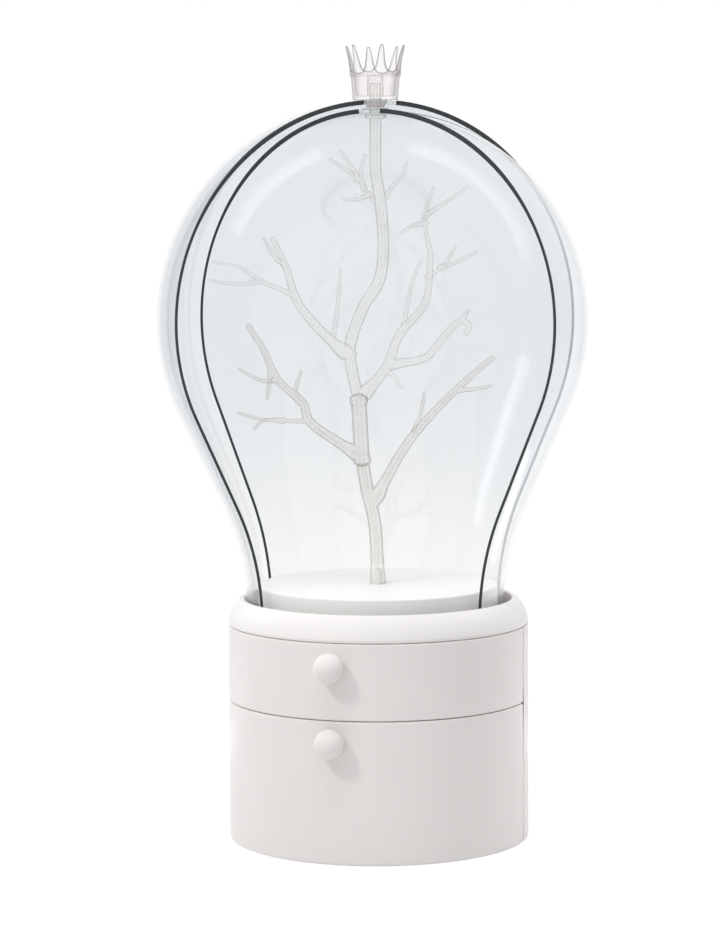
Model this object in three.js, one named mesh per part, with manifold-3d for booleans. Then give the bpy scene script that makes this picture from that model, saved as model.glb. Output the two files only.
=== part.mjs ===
// Rotating jewelry box: drawers in a round base, a turning tray with a display tree,
// and a bulb-shaped dome of two nested half covers under a small crown.
// Millimetres, +Z up, front towards -Y, origin at the centre of the underside.

import * as THREE from "three";
import { mergeVertices } from "three/addons/utils/BufferGeometryUtils.js";
import Module from "manifold-3d";

const wasm = await Module();
wasm.setup();

// Overall sizes
const baseRadius = 80;
const domeRadius = 116;
const domeRiseHeight = 155.5;
const crownHeight = 28.6;

// Clearances
const fitGap = 0.3;
const slideGap = 0.6;
const edgeGap = 0.4;
const rimGap = 0.8;
const turnGap = 0.3;
const hubGap = 0.4;
const overrunLength = 5;

// Base casing
const padThickness = 1.5;
const padInset = 6;
const floorThickness = 2.5;
const casingWall = 2.4;
const seamHalfGap = 0.3;
const lowerSpaceHeight = 69.4;
const upperSpaceHeight = 36.4;
const deckThickness = 3;
const shelfThickness = 2.2;
const shelfTongueWidth = 1;
const lipDepth = 1.8;
const lipThickness = 0.9;

// Drawers
const trayWall = 2;
const trayFloor = 2;
const trayFloorGap = 0.5;
const trayRimGap = 2.6;
const frontFootHeight = 2.2;
const frontSplitDepth = 0.6;
const frontSplitHalfGap = 0.4;
const frontTopGap = 0.6;
const lowerKnobDepth = 11;
const upperKnobDepth = 12;
const knobRadius = 7.8;
const knobStandoff = 6;
const knobThreadDepth = 7;
const knobScrewRadius = 1.8;
const knobScrewHeadRadius = 3.6;
const knobScrewHeadHeight = 1.6;

// Collar
const collarWidth = 8.8;
const collarHeight = 13.6;
const collarLipWidth = 2.3;
const collarShoulderWidth = 1.5;
const collarShoulderHeight = 4.1;
const collarRoundRadius = 0.6;
const collarScrewHeadGap = 0.6;
const collarScrewCount = 4;
const collarScrewRadius = 1.5;
const collarScrewHeadRadius = 2.6;
const collarScrewHeadHeight = 1.3;
const collarScrewDepth = 7;

// Turning tray and its ball race
const turntableRiseHeight = 20.5;
const turntableThickness = 2.5;
const turntableRimWidth = 2.4;
const turntableRimGap = 3.6;
const turntableCoverGap = 1.4;
const turntableEdgeRadius = 0.7;
const ballRadius = 2.6;
const ballCount = 8;
const ballInset = 6;
const raceInset = 11.8;
const raceScrewHeadGap = 1.35;
const raceThickness = 3;
const raceFaceGap = 3.2;
const raceScrewCount = 3;
const raceScrewRadius = 1.4;
const raceScrewHeadRadius = 2.4;
const raceScrewHeadHeight = 0.8;
const raceScrewLength = 4.6;
const cageHalfWidth = 4.5;
const cageThickness = 1.6;
const raceRibInset = 1;
const boltRadius = 2;
const boltHeadRadius = 4.6;
const boltHeadHeight = 1.2;
const boltThreadLength = 7.5;
const washerThickness = 0.6;
const washerRadius = 6;
const nutRadius = 4.2;
const nutHeight = 3.2;
const nutSides = 6;

// Covers
const coverWall = 1.6;
const coverCollarGap = 1.2;
const coverNeckHeight = 5;
const coverNeckGap = 1.6;
const coverDomeGap = 3;
const guideRibThickness = 0.8;
const guideRibHeight = 3;
const sealWidth = 1.4;
const outerHubFlangeRadius = 10;
const innerHubFlangeRadius = 7.6;
const outerCoverDegrees = 41.8;
const innerCoverDegrees = -15.2;

// How far each cover reaches past its half, so that the closed covers overlap.
const coverOverlap = 6;

// Share of the widest hollow that fits between neck and dome; the rest is a straight flare.
const sweepShare = 0.83;

// Tree
const treeDegrees = 17.3;
const treeCoverGap = 19.8;
const trunkRadius = 4.1;
const middleTrunkRadius = 4.4;
const trunkCollarRadius = 5.4;
const trunkCollarLength = 5;
const stemRadius = 3.2;
const pinRadius = 3;
const branchRadius = 3.3;
const branchTipRadius = 1.5;
const twigRadius = 1.3;
const twigTipRadius = 0.8;
const stemShoulderRadius = 5.6;
const stemShoulderThickness = 2;
const hubWasherRadius = 7;
const hubWasherThickness = 0.8;
const pinCrownDepth = 9;

// Crown
const crownGap = 0.5;
const crownFootRadius = 11.9;
const crownBandRadius = 13;
const crownBandHeight = 14;
const crownLedgeWidth = 0.5;
const crownTipRadius = 16.7;
const crownValleyHeight = 1.5;
const crownWall = 1.5;
const crownFloor = 2;
const crownNeckTopRadius = 6.2;
const crownNeckFootRadius = 4.6;
const crownBossRadius = 4.3;
const crownBossHeight = 11;
const spikeCount = 6;
const spikeDegrees = 30.3;

// Faces on round pieces
const bigSides = 36;
const midSides = 16;
const smallSides = 8;
const domeSteps = 9;
const sweepSteps = 3;
const knobSteps = 7;
const grooveSteps = 3;
const limbStepsPerSpan = 2;
const trunkSides = 8;
const branchSides = 6;
const twigSides = 4;
const shoulderSteps = 3;

// Heights that follow, from the underside up
const floorTopHeight = padThickness + floorThickness;
const shelfBottomHeight = floorTopHeight + lowerSpaceHeight;
const shelfTopHeight = shelfBottomHeight + shelfThickness;
const deckBottomHeight = shelfTopHeight + upperSpaceHeight;
const deckTopHeight = deckBottomHeight + deckThickness;
const frontSplitHeight = shelfTopHeight - frontSplitDepth;
const lowerKnobHeight = frontSplitHeight - lowerKnobDepth;
const upperKnobHeight = deckTopHeight - upperKnobDepth;
const coverFootHeight = deckTopHeight + edgeGap;
const sweepCentreHeight = deckTopHeight + coverNeckHeight;
const domeCentreHeight = sweepCentreHeight + domeRiseHeight;
const turntableTopHeight = deckTopHeight + turntableRiseHeight;
const turntableUnderHeight = turntableTopHeight - turntableThickness;
const ballHeight = deckTopHeight + raceThickness + raceFaceGap / 2;
const upperRaceHeight = deckTopHeight + raceThickness + raceFaceGap;
const raceTopHeight = upperRaceHeight + raceThickness;
const washerTopHeight = deckBottomHeight - turnGap;
const boltHeadTopHeight = washerTopHeight - washerThickness;

// Radii that follow, from the casing inwards
const casingInnerRadius = baseRadius - casingWall;
const trayRadius = casingInnerRadius - slideGap;
const frontInnerRadius = trayRadius + fitGap;
const deckRadius = frontInnerRadius - edgeGap;
const trayWallDrop = knobScrewHeadRadius * Math.tan(Math.PI / bigSides);
const knobScrewSeatRadius = trayRadius - trayWall - trayWallDrop - fitGap;
const collarInnerRadius = baseRadius - collarWidth;
const collarScrewCircleRadius = casingInnerRadius - collarScrewHeadGap - collarScrewHeadRadius;
const coverNeckRadius = collarInnerRadius - coverCollarGap;
const innerNeckRadius = coverNeckRadius - coverWall - coverNeckGap;
const turntableRadius = innerNeckRadius - coverWall - turntableCoverGap;
const raceOuterRadius = turntableRadius - raceInset;
const ballCircleRadius = raceOuterRadius - ballInset;
const cageInnerRadius = ballCircleRadius - cageHalfWidth;
const raceScrewCircleRadius = cageInnerRadius - raceScrewHeadGap - raceScrewHeadRadius;
const raceInnerRadius = raceScrewCircleRadius - raceScrewHeadRadius - raceScrewHeadGap;
const innerDomeRadius = domeRadius - coverWall - coverDomeGap;
const treeRadius = innerDomeRadius - coverWall - treeCoverGap;
const outerHubHoleRadius = crownNeckTopRadius + hubGap;
const innerHubHoleRadius = pinRadius + hubGap;

// The covers' hollow sweep, and the heights at the hub and crown that follow from the dome
const widestSweepRadius =
  (coverNeckRadius ** 2 + domeRiseHeight ** 2 - domeRadius ** 2) / (2 * (domeRadius - coverNeckRadius));
const sweepRadius = sweepShare * widestSweepRadius;
const innerSweepRadius = sweepRadius + coverWall + coverNeckGap;
const domeHeightAt = (radius, across) => domeCentreHeight + Math.sqrt(radius ** 2 - across ** 2);
const outerHubTopHeight = domeHeightAt(domeRadius, outerHubFlangeRadius);
const innerHubTopHeight = domeHeightAt(innerDomeRadius, innerHubFlangeRadius);
const innerHubBottomHeight = domeHeightAt(innerDomeRadius - coverWall, innerHubFlangeRadius);
const stemShoulderTopHeight = innerHubBottomHeight - turnGap - hubWasherThickness;
const crownNeckFootHeight = innerHubTopHeight + 2 * turnGap + hubWasherThickness;
const crownFootHeight = outerHubTopHeight + crownGap;
const crownLedgeHeight = crownFootHeight + crownBandHeight;
const totalHeight = crownFootHeight + crownHeight;
const pinTopHeight = crownFootHeight + pinCrownDepth;
const treeHeight = stemShoulderTopHeight - turntableTopHeight;

// Materials
const plastic = (color, roughness, opacity = 1) =>
  new THREE.MeshStandardMaterial({ color, roughness, metalness: 0, opacity, transparent: opacity < 1 });
const whitePlastic = plastic(0xf1eeeb, 0.42);
const trayPlastic = plastic(0xf7f5f3, 0.4);
const clearPlastic = plastic(0xeef2f4, 0.06, 0.2);
const treeAcrylic = plastic(0xe6e4da, 0.15, 0.7);
const crownAcrylic = plastic(0xf0e6e6, 0.12, 0.5);
const sealRubber = plastic(0x3b4040, 0.7);
const padRubber = plastic(0x8f8f8c, 0.9);
const nylon = plastic(0xe9e7e2, 0.5);
const steel = new THREE.MeshStandardMaterial({ color: 0xb9babb, roughness: 0.3, metalness: 1 });

// A geometry's closed surface as a solid; a surface that faces inwards is turned round.
function solidOf(geometry) {
  const bare = new THREE.BufferGeometry();
  bare.setAttribute("position", geometry.getAttribute("position"));
  if (geometry.index) bare.setIndex(geometry.index);
  const merged = mergeVertices(bare);
  const triVerts = new Uint32Array(merged.index.array);
  const vertProperties = merged.attributes.position.array;
  const made = new wasm.Manifold(new wasm.Mesh({ numProp: 3, vertProperties, triVerts }));
  if (made.volume() > 0) return made;
  for (let i = 0; i < triVerts.length; i += 3) {
    [triVerts[i], triVerts[i + 1]] = [triVerts[i + 1], triVerts[i]];
  }
  return new wasm.Manifold(new wasm.Mesh({ numProp: 3, vertProperties, triVerts }));
}

function geometryOf(solid) {
  const mesh = solid.getMesh();
  const geometry = new THREE.BufferGeometry();
  geometry.setAttribute("position", new THREE.BufferAttribute(mesh.vertProperties, 3));
  geometry.setIndex(new THREE.BufferAttribute(mesh.triVerts, 1));
  const flat = geometry.toNonIndexed();
  flat.computeVertexNormals();
  return flat;
}

const join = (first, ...others) => others.reduce((sum, solid) => sum.add(solid), first);
const cut = (first, ...tools) => tools.reduce((rest, tool) => rest.subtract(tool), first);

// Turns a closed outline of [radius, height] points round the Z axis.
function turned(outline, sides = bigSides) {
  const points = outline.map(([radius, height]) => new THREE.Vector2(radius, height));
  const closed = outline[0][0] > 0 ? [...points, points[0].clone()] : points;
  return solidOf(new THREE.LatheGeometry(closed, sides).rotateX(Math.PI / 2));
}

// A ring, or a disc where the inner radius is zero, between two heights.
function ring(inner, outer, low, high, sides = bigSides) {
  return turned([[inner, low], [outer, low], [outer, high], [inner, high]], sides);
}

function block(low, high) {
  const size = high.map((value, axis) => value - low[axis]);
  const middle = high.map((value, axis) => (value + low[axis]) / 2);
  return solidOf(new THREE.BoxGeometry(...size).translate(...middle));
}

// The space behind (sign 1) or in front of (sign -1) a plane across Y, as large as the part.
function halfSpace(sign, plane) {
  const far = domeRadius + overrunLength;
  const ends = sign > 0 ? [plane, far] : [-far, plane];
  return block([-far, ends[0], -overrunLength], [far, ends[1], totalHeight + overrunLength]);
}

const around = (count, place) => Array.from({ length: count }, (_, i) => place((i * 360) / count, i));

function onCircle(radius, degrees) {
  const angle = THREE.MathUtils.degToRad(degrees);
  return [radius * Math.cos(angle), radius * Math.sin(angle)];
}

const standingPeg = (radius, x, y, low, high) =>
  ring(0, radius, low, high, smallSides).translate([x, y, 0]);

// A pan-head screw that points up, with its head's seat at height zero.
function screw(shankRadius, length, headRadius, headHeight) {
  const outline = [
    [0, -headHeight],
    [headRadius, -headHeight],
    [headRadius, 0],
    [shankRadius, 0],
    [shankRadius, length],
    [0, length],
  ];
  return turned(outline, smallSides);
}

function piece(name, solid, material) {
  const mesh = new THREE.Mesh(geometryOf(solid), material);
  mesh.name = name;
  return mesh;
}

function placed(mesh, x, y, z) {
  mesh.position.set(x, y, z);
  return mesh;
}

function assembly(...children) {
  const group = new THREE.Group();
  group.add(...children);
  return group;
}

// Base

const collarScrewPlaces = around(collarScrewCount, (degrees) =>
  onCircle(collarScrewCircleRadius, degrees + 180 / collarScrewCount),
);
const raceScrewPlaces = around(raceScrewCount, (degrees) => onCircle(raceScrewCircleRadius, degrees));

function pad() {
  return ring(0, baseRadius - padInset, 0, padThickness);
}

// Floor and fixed rear half wall, with a groove for the shelf.
function casing() {
  const cup = turned([
    [0, padThickness],
    [baseRadius, padThickness],
    [baseRadius, deckBottomHeight],
    [casingInnerRadius, deckBottomHeight],
    [casingInnerRadius, floorTopHeight],
    [0, floorTopHeight],
  ]);
  const groove = ring(
    casingInnerRadius - overrunLength,
    casingInnerRadius + shelfTongueWidth + fitGap,
    shelfBottomHeight - fitGap,
    shelfTopHeight + fitGap,
  );
  return join(
    cut(cup.intersect(halfSpace(1, seamHalfGap)), groove),
    ring(0, deckRadius, padThickness, floorTopHeight),
  );
}

function shelf() {
  const tongue = ring(0, casingInnerRadius + shelfTongueWidth, shelfBottomHeight, shelfTopHeight);
  return join(
    ring(0, deckRadius, shelfBottomHeight, shelfTopHeight),
    tongue.intersect(halfSpace(1, 2 * seamHalfGap)),
  );
}

// Deck with its rear flange, locating lip and the guide rib that runs between the two covers.
function deck() {
  const lipRadius = casingInnerRadius - slideGap;
  const ribMiddle = (coverNeckRadius - coverWall + innerNeckRadius) / 2;
  const ribHalf = guideRibThickness / 2;
  const deckMiddleHeight = deckBottomHeight + deckThickness / 2;
  const rear = join(
    ring(0, baseRadius, deckBottomHeight, deckTopHeight),
    ring(lipRadius - lipThickness, lipRadius, deckBottomHeight - lipDepth, deckMiddleHeight),
  ).intersect(halfSpace(1, seamHalfGap));
  const whole = join(
    ring(0, deckRadius, deckBottomHeight, deckTopHeight),
    rear,
    ring(ribMiddle - ribHalf, ribMiddle + ribHalf, deckMiddleHeight, deckTopHeight + guideRibHeight),
  );
  const low = deckBottomHeight - overrunLength;
  const high = deckTopHeight + overrunLength;
  const headRadius = collarScrewHeadRadius + fitGap;
  return cut(
    whole,
    standingPeg(boltRadius + fitGap, 0, 0, low, high),
    ...collarScrewPlaces.map(([x, y]) => standingPeg(collarScrewRadius + fitGap, x, y, low, high)),
    ...collarScrewPlaces.map(([x, y]) => standingPeg(headRadius, x, y, low, deckBottomHeight)),
    ...raceScrewPlaces.map(([x, y]) => standingPeg(raceScrewRadius + fitGap, x, y, low, high)),
  );
}

// Collar: straight foot, outside rounded over to a narrow lip.
function collar() {
  const top = deckTopHeight + collarHeight;
  const shoulder = new THREE.QuadraticBezierCurve(
    new THREE.Vector2(baseRadius, deckTopHeight + collarRoundRadius),
    new THREE.Vector2(baseRadius - collarShoulderWidth, top - collarShoulderHeight),
    new THREE.Vector2(collarInnerRadius + collarLipWidth, top),
  );
  const body = turned([
    [collarInnerRadius, deckTopHeight],
    [baseRadius - collarRoundRadius, deckTopHeight],
    ...shoulder.getPoints(shoulderSteps).map((point) => [point.x, point.y]),
    [collarInnerRadius + collarRoundRadius, top],
    [collarInnerRadius, top - collarRoundRadius],
  ]);
  const holeTop = deckBottomHeight + collarScrewDepth + deckThickness + fitGap;
  return cut(
    body,
    ...collarScrewPlaces.map(([x, y]) =>
      standingPeg(collarScrewRadius + fitGap, x, y, deckTopHeight - overrunLength, holeTop),
    ),
  );
}

function collarScrews() {
  const solid = screw(
    collarScrewRadius,
    deckThickness + collarScrewDepth,
    collarScrewHeadRadius,
    collarScrewHeadHeight,
  );
  return collarScrewPlaces.map(([x, y], i) =>
    placed(piece(`collar_screw_${i + 1}`, solid, steel), x, y, deckBottomHeight - fitGap),
  );
}

function base() {
  return assembly(
    piece("non_slip_pad", pad(), padRubber),
    piece("base_casing", casing(), whitePlastic),
    piece("middle_shelf", shelf(), whitePlastic),
    piece("top_deck", deck(), whitePlastic),
    piece("collar_ring", collar(), whitePlastic),
    ...collarScrews(),
  );
}

// Drawers

const lyingPeg = (radius, from, to, height) =>
  solidOf(
    new THREE.CylinderGeometry(radius, radius, to - from, smallSides).translate(0, (from + to) / 2, 0),
  ).translate([0, 0, height]);

// Round tray of a drawer, with the hole for its knob's screw.
function drawerTray(bottom, rim, knobHeight) {
  const inner = trayRadius - trayWall;
  const body = turned([
    [0, bottom],
    [trayRadius - trayFloor / 2, bottom],
    [trayRadius, bottom + trayFloor / 2],
    [trayRadius, rim],
    [inner, rim],
    [inner, bottom + 2 * trayFloor],
    [inner - trayFloor, bottom + trayFloor],
    [0, bottom + trayFloor],
  ]);
  return cut(body, lyingPeg(knobScrewRadius + fitGap, -baseRadius, -inner + overrunLength, knobHeight));
}

// Half-cylinder front, from side seam to side seam.
function drawerFront(low, high, knobHeight) {
  const wall = ring(frontInnerRadius, baseRadius, low, high).intersect(halfSpace(-1, -seamHalfGap));
  const holeStart = -baseRadius - overrunLength;
  return cut(wall, lyingPeg(knobScrewRadius + fitGap, holeStart, -trayRadius, knobHeight));
}

// Ball knob with a flat seat and a blind hole for its screw; it points along -Y from the seat.
function knob() {
  const seatRadius = Math.sqrt(knobRadius ** 2 - (knobStandoff - fitGap) ** 2);
  const seatAngle = Math.asin(seatRadius / knobRadius);
  const arc = Array.from({ length: knobSteps + 1 }, (_, i) => {
    const angle = seatAngle + ((Math.PI - seatAngle) * i) / knobSteps;
    const height = knobStandoff - knobRadius * Math.cos(angle);
    return [i === knobSteps ? 0 : knobRadius * Math.sin(angle), height];
  });
  const holeRadius = knobScrewRadius + fitGap;
  const holeDepth = knobThreadDepth + 2 * fitGap;
  const outline = [[0, holeDepth], [holeRadius, holeDepth], [holeRadius, fitGap], ...arc];
  return turned(outline, midSides).rotate([90, 0, 0]);
}

function knobScrew() {
  const length = baseRadius - knobScrewSeatRadius + knobThreadDepth;
  return screw(knobScrewRadius, length, knobScrewHeadRadius, knobScrewHeadHeight).rotate([90, 0, 0]);
}

function drawer(name, bottom, rim, low, high, knobHeight) {
  return assembly(
    piece(`${name}_drawer_tray`, drawerTray(bottom, rim, knobHeight), trayPlastic),
    piece(`${name}_drawer_front`, drawerFront(low, high, knobHeight), whitePlastic),
    placed(piece(`${name}_drawer_knob`, knob(), whitePlastic), 0, -baseRadius, knobHeight),
    placed(piece(`${name}_knob_screw`, knobScrew(), steel), 0, -knobScrewSeatRadius, knobHeight),
  );
}

// Turning tray, its ball race and its bolt

// Outline of a race's running face: flat, a round groove for the balls, flat; up is 1 or -1.
function race(faceHeight, backHeight, up) {
  const grooveRadius = ballRadius + fitGap;
  const drop = Math.abs(ballHeight - faceHeight);
  const halfAngle = Math.acos(drop / grooveRadius);
  const groove = Array.from({ length: grooveSteps + 1 }, (_, i) => {
    const angle = -halfAngle + (2 * halfAngle * i) / grooveSteps;
    const height = ballHeight - up * grooveRadius * Math.cos(angle);
    return [ballCircleRadius + grooveRadius * Math.sin(angle), height];
  });
  const body = turned([
    [raceInnerRadius, backHeight],
    [raceInnerRadius, faceHeight],
    ...groove,
    [raceOuterRadius, faceHeight],
    [raceOuterRadius, backHeight],
  ]);
  const low = Math.min(faceHeight, backHeight) - overrunLength;
  const high = Math.max(faceHeight, backHeight) + overrunLength;
  const holeRadius = raceScrewRadius + fitGap;
  return cut(body, ...raceScrewPlaces.map(([x, y]) => standingPeg(holeRadius, x, y, low, high)));
}

function cage() {
  const half = cageThickness / 2;
  const body = ring(
    cageInnerRadius,
    ballCircleRadius + cageHalfWidth,
    ballHeight - half,
    ballHeight + half,
    midSides,
  );
  const pockets = around(ballCount, (degrees) => {
    const [x, y] = onCircle(ballCircleRadius, degrees);
    return standingPeg(ballRadius + fitGap, x, y, ballHeight - overrunLength, ballHeight + overrunLength);
  });
  return cut(body, ...pockets);
}

function balls() {
  const ball = new THREE.SphereGeometry(ballRadius, smallSides, smallSides / 2);
  const solid = solidOf(ball.rotateX(Math.PI / 2));
  return around(ballCount, (degrees, i) => {
    const [x, y] = onCircle(ballCircleRadius, degrees);
    return placed(piece(`bearing_ball_${i + 1}`, solid, steel), x, y, ballHeight);
  });
}

// Race screws: the lower ones point down into the deck, the upper ones up into the tray.
function raceScrews() {
  const solid = screw(raceScrewRadius, raceScrewLength, raceScrewHeadRadius, raceScrewHeadHeight);
  const lowered = solid.rotate([180, 0, 0]);
  const lowerSeat = deckTopHeight + raceThickness + fitGap;
  const upperSeat = upperRaceHeight - fitGap;
  return {
    lower: raceScrewPlaces.map(([x, y], i) =>
      placed(piece(`lower_race_screw_${i + 1}`, lowered, steel), x, y, lowerSeat),
    ),
    upper: raceScrewPlaces.map(([x, y], i) =>
      placed(piece(`upper_race_screw_${i + 1}`, solid, steel), x, y, upperSeat),
    ),
  };
}

// Tray: flat top, hanging rim and a broad rib that carries the upper race.
function turntable() {
  const inner = turntableRadius - turntableRimWidth;
  const rimFoot = deckTopHeight + turntableRimGap;
  const body = turned([
    [0, turntableUnderHeight],
    [inner, turntableUnderHeight],
    [inner, rimFoot],
    [turntableRadius, rimFoot],
    [turntableRadius, turntableTopHeight - turntableEdgeRadius],
    [turntableRadius - turntableEdgeRadius, turntableTopHeight],
    [0, turntableTopHeight],
  ]);
  const rib = ring(
    raceInnerRadius + raceRibInset,
    raceOuterRadius - raceRibInset,
    raceTopHeight,
    turntableUnderHeight + turntableThickness / 2,
  );
  const screwTop = upperRaceHeight + raceScrewLength + fitGap;
  const low = turntableUnderHeight - overrunLength;
  const high = turntableTopHeight + overrunLength;
  return cut(
    join(body, rib),
    standingPeg(boltRadius + fitGap, 0, 0, low, high),
    ...raceScrewPlaces.map(([x, y]) =>
      standingPeg(raceScrewRadius + fitGap, x, y, raceTopHeight - overrunLength, screwTop),
    ),
  );
}

function carouselDrive(upperScrews) {
  const nut = cut(
    ring(0, nutRadius, turntableUnderHeight - nutHeight, turntableUnderHeight, nutSides),
    standingPeg(boltRadius + fitGap, 0, 0, 0, totalHeight),
  );
  const washer = ring(boltRadius + fitGap, washerRadius, boltHeadTopHeight, washerTopHeight, midSides);
  const boltLength = turntableTopHeight + boltThreadLength - boltHeadTopHeight;
  const bolt = screw(boltRadius, boltLength, boltHeadRadius, boltHeadHeight);
  return [
    piece("turntable", turntable(), trayPlastic),
    piece("bearing_upper_race", race(upperRaceHeight, raceTopHeight, -1), steel),
    ...upperScrews,
    placed(piece("turntable_bolt", bolt, steel), 0, 0, boltHeadTopHeight),
    piece("turntable_washer", washer, nylon),
    piece("turntable_nut", nut, steel),
  ];
}

// Covers

// Points up one face of a cover: straight neck, hollow sweep, straight flare and the round dome,
// which stops at the given distance from the axis. The flare touches both arcs.
function coverCurve(neckRadius, hollowRadius, roundRadius, endRadius) {
  const sweepCentre = neckRadius + hollowRadius;
  const rise = domeCentreHeight - sweepCentreHeight;
  const spacing = Math.hypot(sweepCentre, rise);
  const lean = Math.atan2(rise, sweepCentre) - Math.acos((roundRadius + hollowRadius) / spacing);
  const last = Math.acos(endRadius / roundRadius);
  const sweep = Array.from({ length: sweepSteps + 1 }, (_, i) => {
    const angle = (lean * i) / sweepSteps;
    const height = sweepCentreHeight + hollowRadius * Math.sin(angle);
    return [sweepCentre - hollowRadius * Math.cos(angle), height];
  });
  const dome = Array.from({ length: domeSteps + 1 }, (_, i) => {
    const angle = -lean + ((last + lean) * i) / domeSteps;
    return [roundRadius * Math.cos(angle), domeCentreHeight + roundRadius * Math.sin(angle)];
  });
  return [[neckRadius, coverFootHeight], ...sweep, ...dome];
}

// Outer and inner face of a cover's wall, both up to the same distance from the axis.
function coverFaces({ neckRadius, hollowRadius, roundRadius }, endRadius) {
  return {
    outside: coverCurve(neckRadius, hollowRadius, roundRadius, endRadius),
    inside: coverCurve(
      neckRadius - coverWall,
      hollowRadius + coverWall,
      roundRadius - coverWall,
      endRadius,
    ),
  };
}

// Half shell that reaches a little past the XZ plane, with a whole hub ring on top.
function coverShell(sizes) {
  const { flangeRadius, holeRadius } = sizes;
  const { outside, inside } = coverFaces(sizes, flangeRadius);
  const top = outside.at(-1)[1];
  const under = inside.at(-1)[1];
  const shell = turned([...outside, [holeRadius, top], [holeRadius, under], ...inside.toReversed()]);
  return join(
    shell.intersect(halfSpace(1, sealWidth + fitGap - coverOverlap)),
    ring(holeRadius, flangeRadius, under, top),
  );
}

// Strip along one straight edge of a cover, as wide as the seal and as thick as the wall. It follows
// the wall in the plane of the edge, and its end stays clear of the hub ring.
function edgeSeal(sizes) {
  const nearEdge = coverOverlap - sealWidth;
  const clearRadius = sizes.flangeRadius + fitGap;
  const endRadius = Math.sqrt(clearRadius ** 2 - nearEdge ** 2 + coverOverlap ** 2);
  const { outside, inside } = coverFaces(sizes, endRadius);
  const corners = [...outside, ...inside.toReversed()].map(
    ([radius, height]) => new THREE.Vector2(Math.sqrt(radius ** 2 - coverOverlap ** 2), height),
  );
  const strip = new THREE.ExtrudeGeometry(new THREE.Shape(corners), {
    depth: sealWidth,
    bevelEnabled: false,
    steps: 1,
  });
  return solidOf(strip.rotateX(Math.PI / 2));
}

function cover(name, sizes) {
  const seal = edgeSeal(sizes);
  const group = assembly(
    piece(`${name}_cover`, coverShell(sizes), clearPlastic),
    placed(piece(`${name}_cover_right_seal`, seal, sealRubber), 0, sealWidth - coverOverlap, 0),
    placed(piece(`${name}_cover_left_seal`, seal.rotate([0, 0, 180]), sealRubber), 0, -coverOverlap, 0),
  );
  group.rotation.z = THREE.MathUtils.degToRad(sizes.turn);
  return group;
}

const outerSizes = {
  neckRadius: coverNeckRadius,
  hollowRadius: sweepRadius,
  roundRadius: domeRadius,
  flangeRadius: outerHubFlangeRadius,
  holeRadius: outerHubHoleRadius,
  turn: outerCoverDegrees,
};
const innerSizes = {
  neckRadius: innerNeckRadius,
  hollowRadius: innerSweepRadius,
  roundRadius: innerDomeRadius,
  flangeRadius: innerHubFlangeRadius,
  holeRadius: innerHubHoleRadius,
  turn: innerCoverDegrees,
};

// Tree

// Places across, away from the viewer and up, as shares of the tree's radius and height.
const treePoint = ([across, away, up]) =>
  new THREE.Vector3(across * treeRadius, away * treeRadius, turntableTopHeight + up * treeHeight);

// A round limb through points with a radius at each, a flat start and a rounded end.
function limb(points, radii, sides) {
  const curve = new THREE.CatmullRomCurve3(points, false, "centripetal");
  const spans = points.length - 1;
  const steps = spans * limbStepsPerSpan;
  const positions = [];
  const index = [];
  const along = new THREE.Vector3();
  const side = new THREE.Vector3(0, 1, 0);
  const addRing = (centre, radius) => {
    side.addScaledVector(along, -side.dot(along)).normalize();
    const other = new THREE.Vector3().crossVectors(along, side);
    for (let i = 0; i < sides; i += 1) {
      const angle = (2 * Math.PI * i) / sides;
      const spot = centre.clone().addScaledVector(side, radius * Math.cos(angle));
      spot.addScaledVector(other, radius * Math.sin(angle));
      positions.push(spot.x, spot.y, spot.z);
    }
  };
  for (let step = 0; step <= steps; step += 1) {
    const share = step / steps;
    const span = Math.min(Math.floor(share * spans), spans - 1);
    const radius = THREE.MathUtils.lerp(radii[span], radii[span + 1], share * spans - span);
    along.copy(curve.getTangent(share));
    addRing(curve.getPoint(share), radius);
  }
  const tip = points.at(-1);
  const tipRadius = radii.at(-1);
  addRing(tip.clone().addScaledVector(along, tipRadius * Math.SQRT1_2), tipRadius * Math.SQRT1_2);
  const rings = steps + 2;
  const first = rings * sides;
  const apex = tip.clone().addScaledVector(along, tipRadius);
  positions.push(points[0].x, points[0].y, points[0].z, apex.x, apex.y, apex.z);
  for (let i = 0; i < sides; i += 1) {
    const next = (i + 1) % sides;
    index.push(first, next, i);
    for (let level = 0; level < rings - 1; level += 1) {
      const low = level * sides;
      const high = low + sides;
      index.push(low + i, low + next, high + next, low + i, high + next, high + i);
    }
    index.push((rings - 1) * sides + i, (rings - 1) * sides + next, first + 1);
  }
  const geometry = new THREE.BufferGeometry();
  geometry.setAttribute("position", new THREE.Float32BufferAttribute(positions, 3));
  geometry.setIndex(index);
  return solidOf(geometry);
}

// A limb whose radius runs evenly from start to end; extra widens it all round.
function taper(shares, startRadius, endRadius, extra = 0, sides = branchSides) {
  const last = shares.length - 1;
  const radii = shares.map((_, i) => THREE.MathUtils.lerp(startRadius, endRadius, i / last) + extra);
  return limb(shares.map(treePoint), radii, sides);
}

const trunkFootShares = [0, 0, 0];
const lowerNodeShares = [-0.091, 0, 0.268];
const upperNodeShares = [-0.108, 0, 0.394];
const lowerTrunkShares = [trunkFootShares, [-0.018, 0, 0.13], [-0.06, 0, 0.2], lowerNodeShares];
const stemShares = [
  upperNodeShares,
  [-0.15, 0, 0.467],
  [-0.159, 0, 0.507],
  [-0.079, 0, 0.592],
  [0.017, 0, 0.651],
  [0.042, 0, 0.717],
  [0.028, 0, 0.81],
  [0, 0, 0.883],
  [0, 0, 0.966],
  [0, 0, 1],
];

function lowerTrunk(extra = 0) {
  return taper(lowerTrunkShares, trunkRadius, trunkRadius, extra, trunkSides);
}

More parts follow.
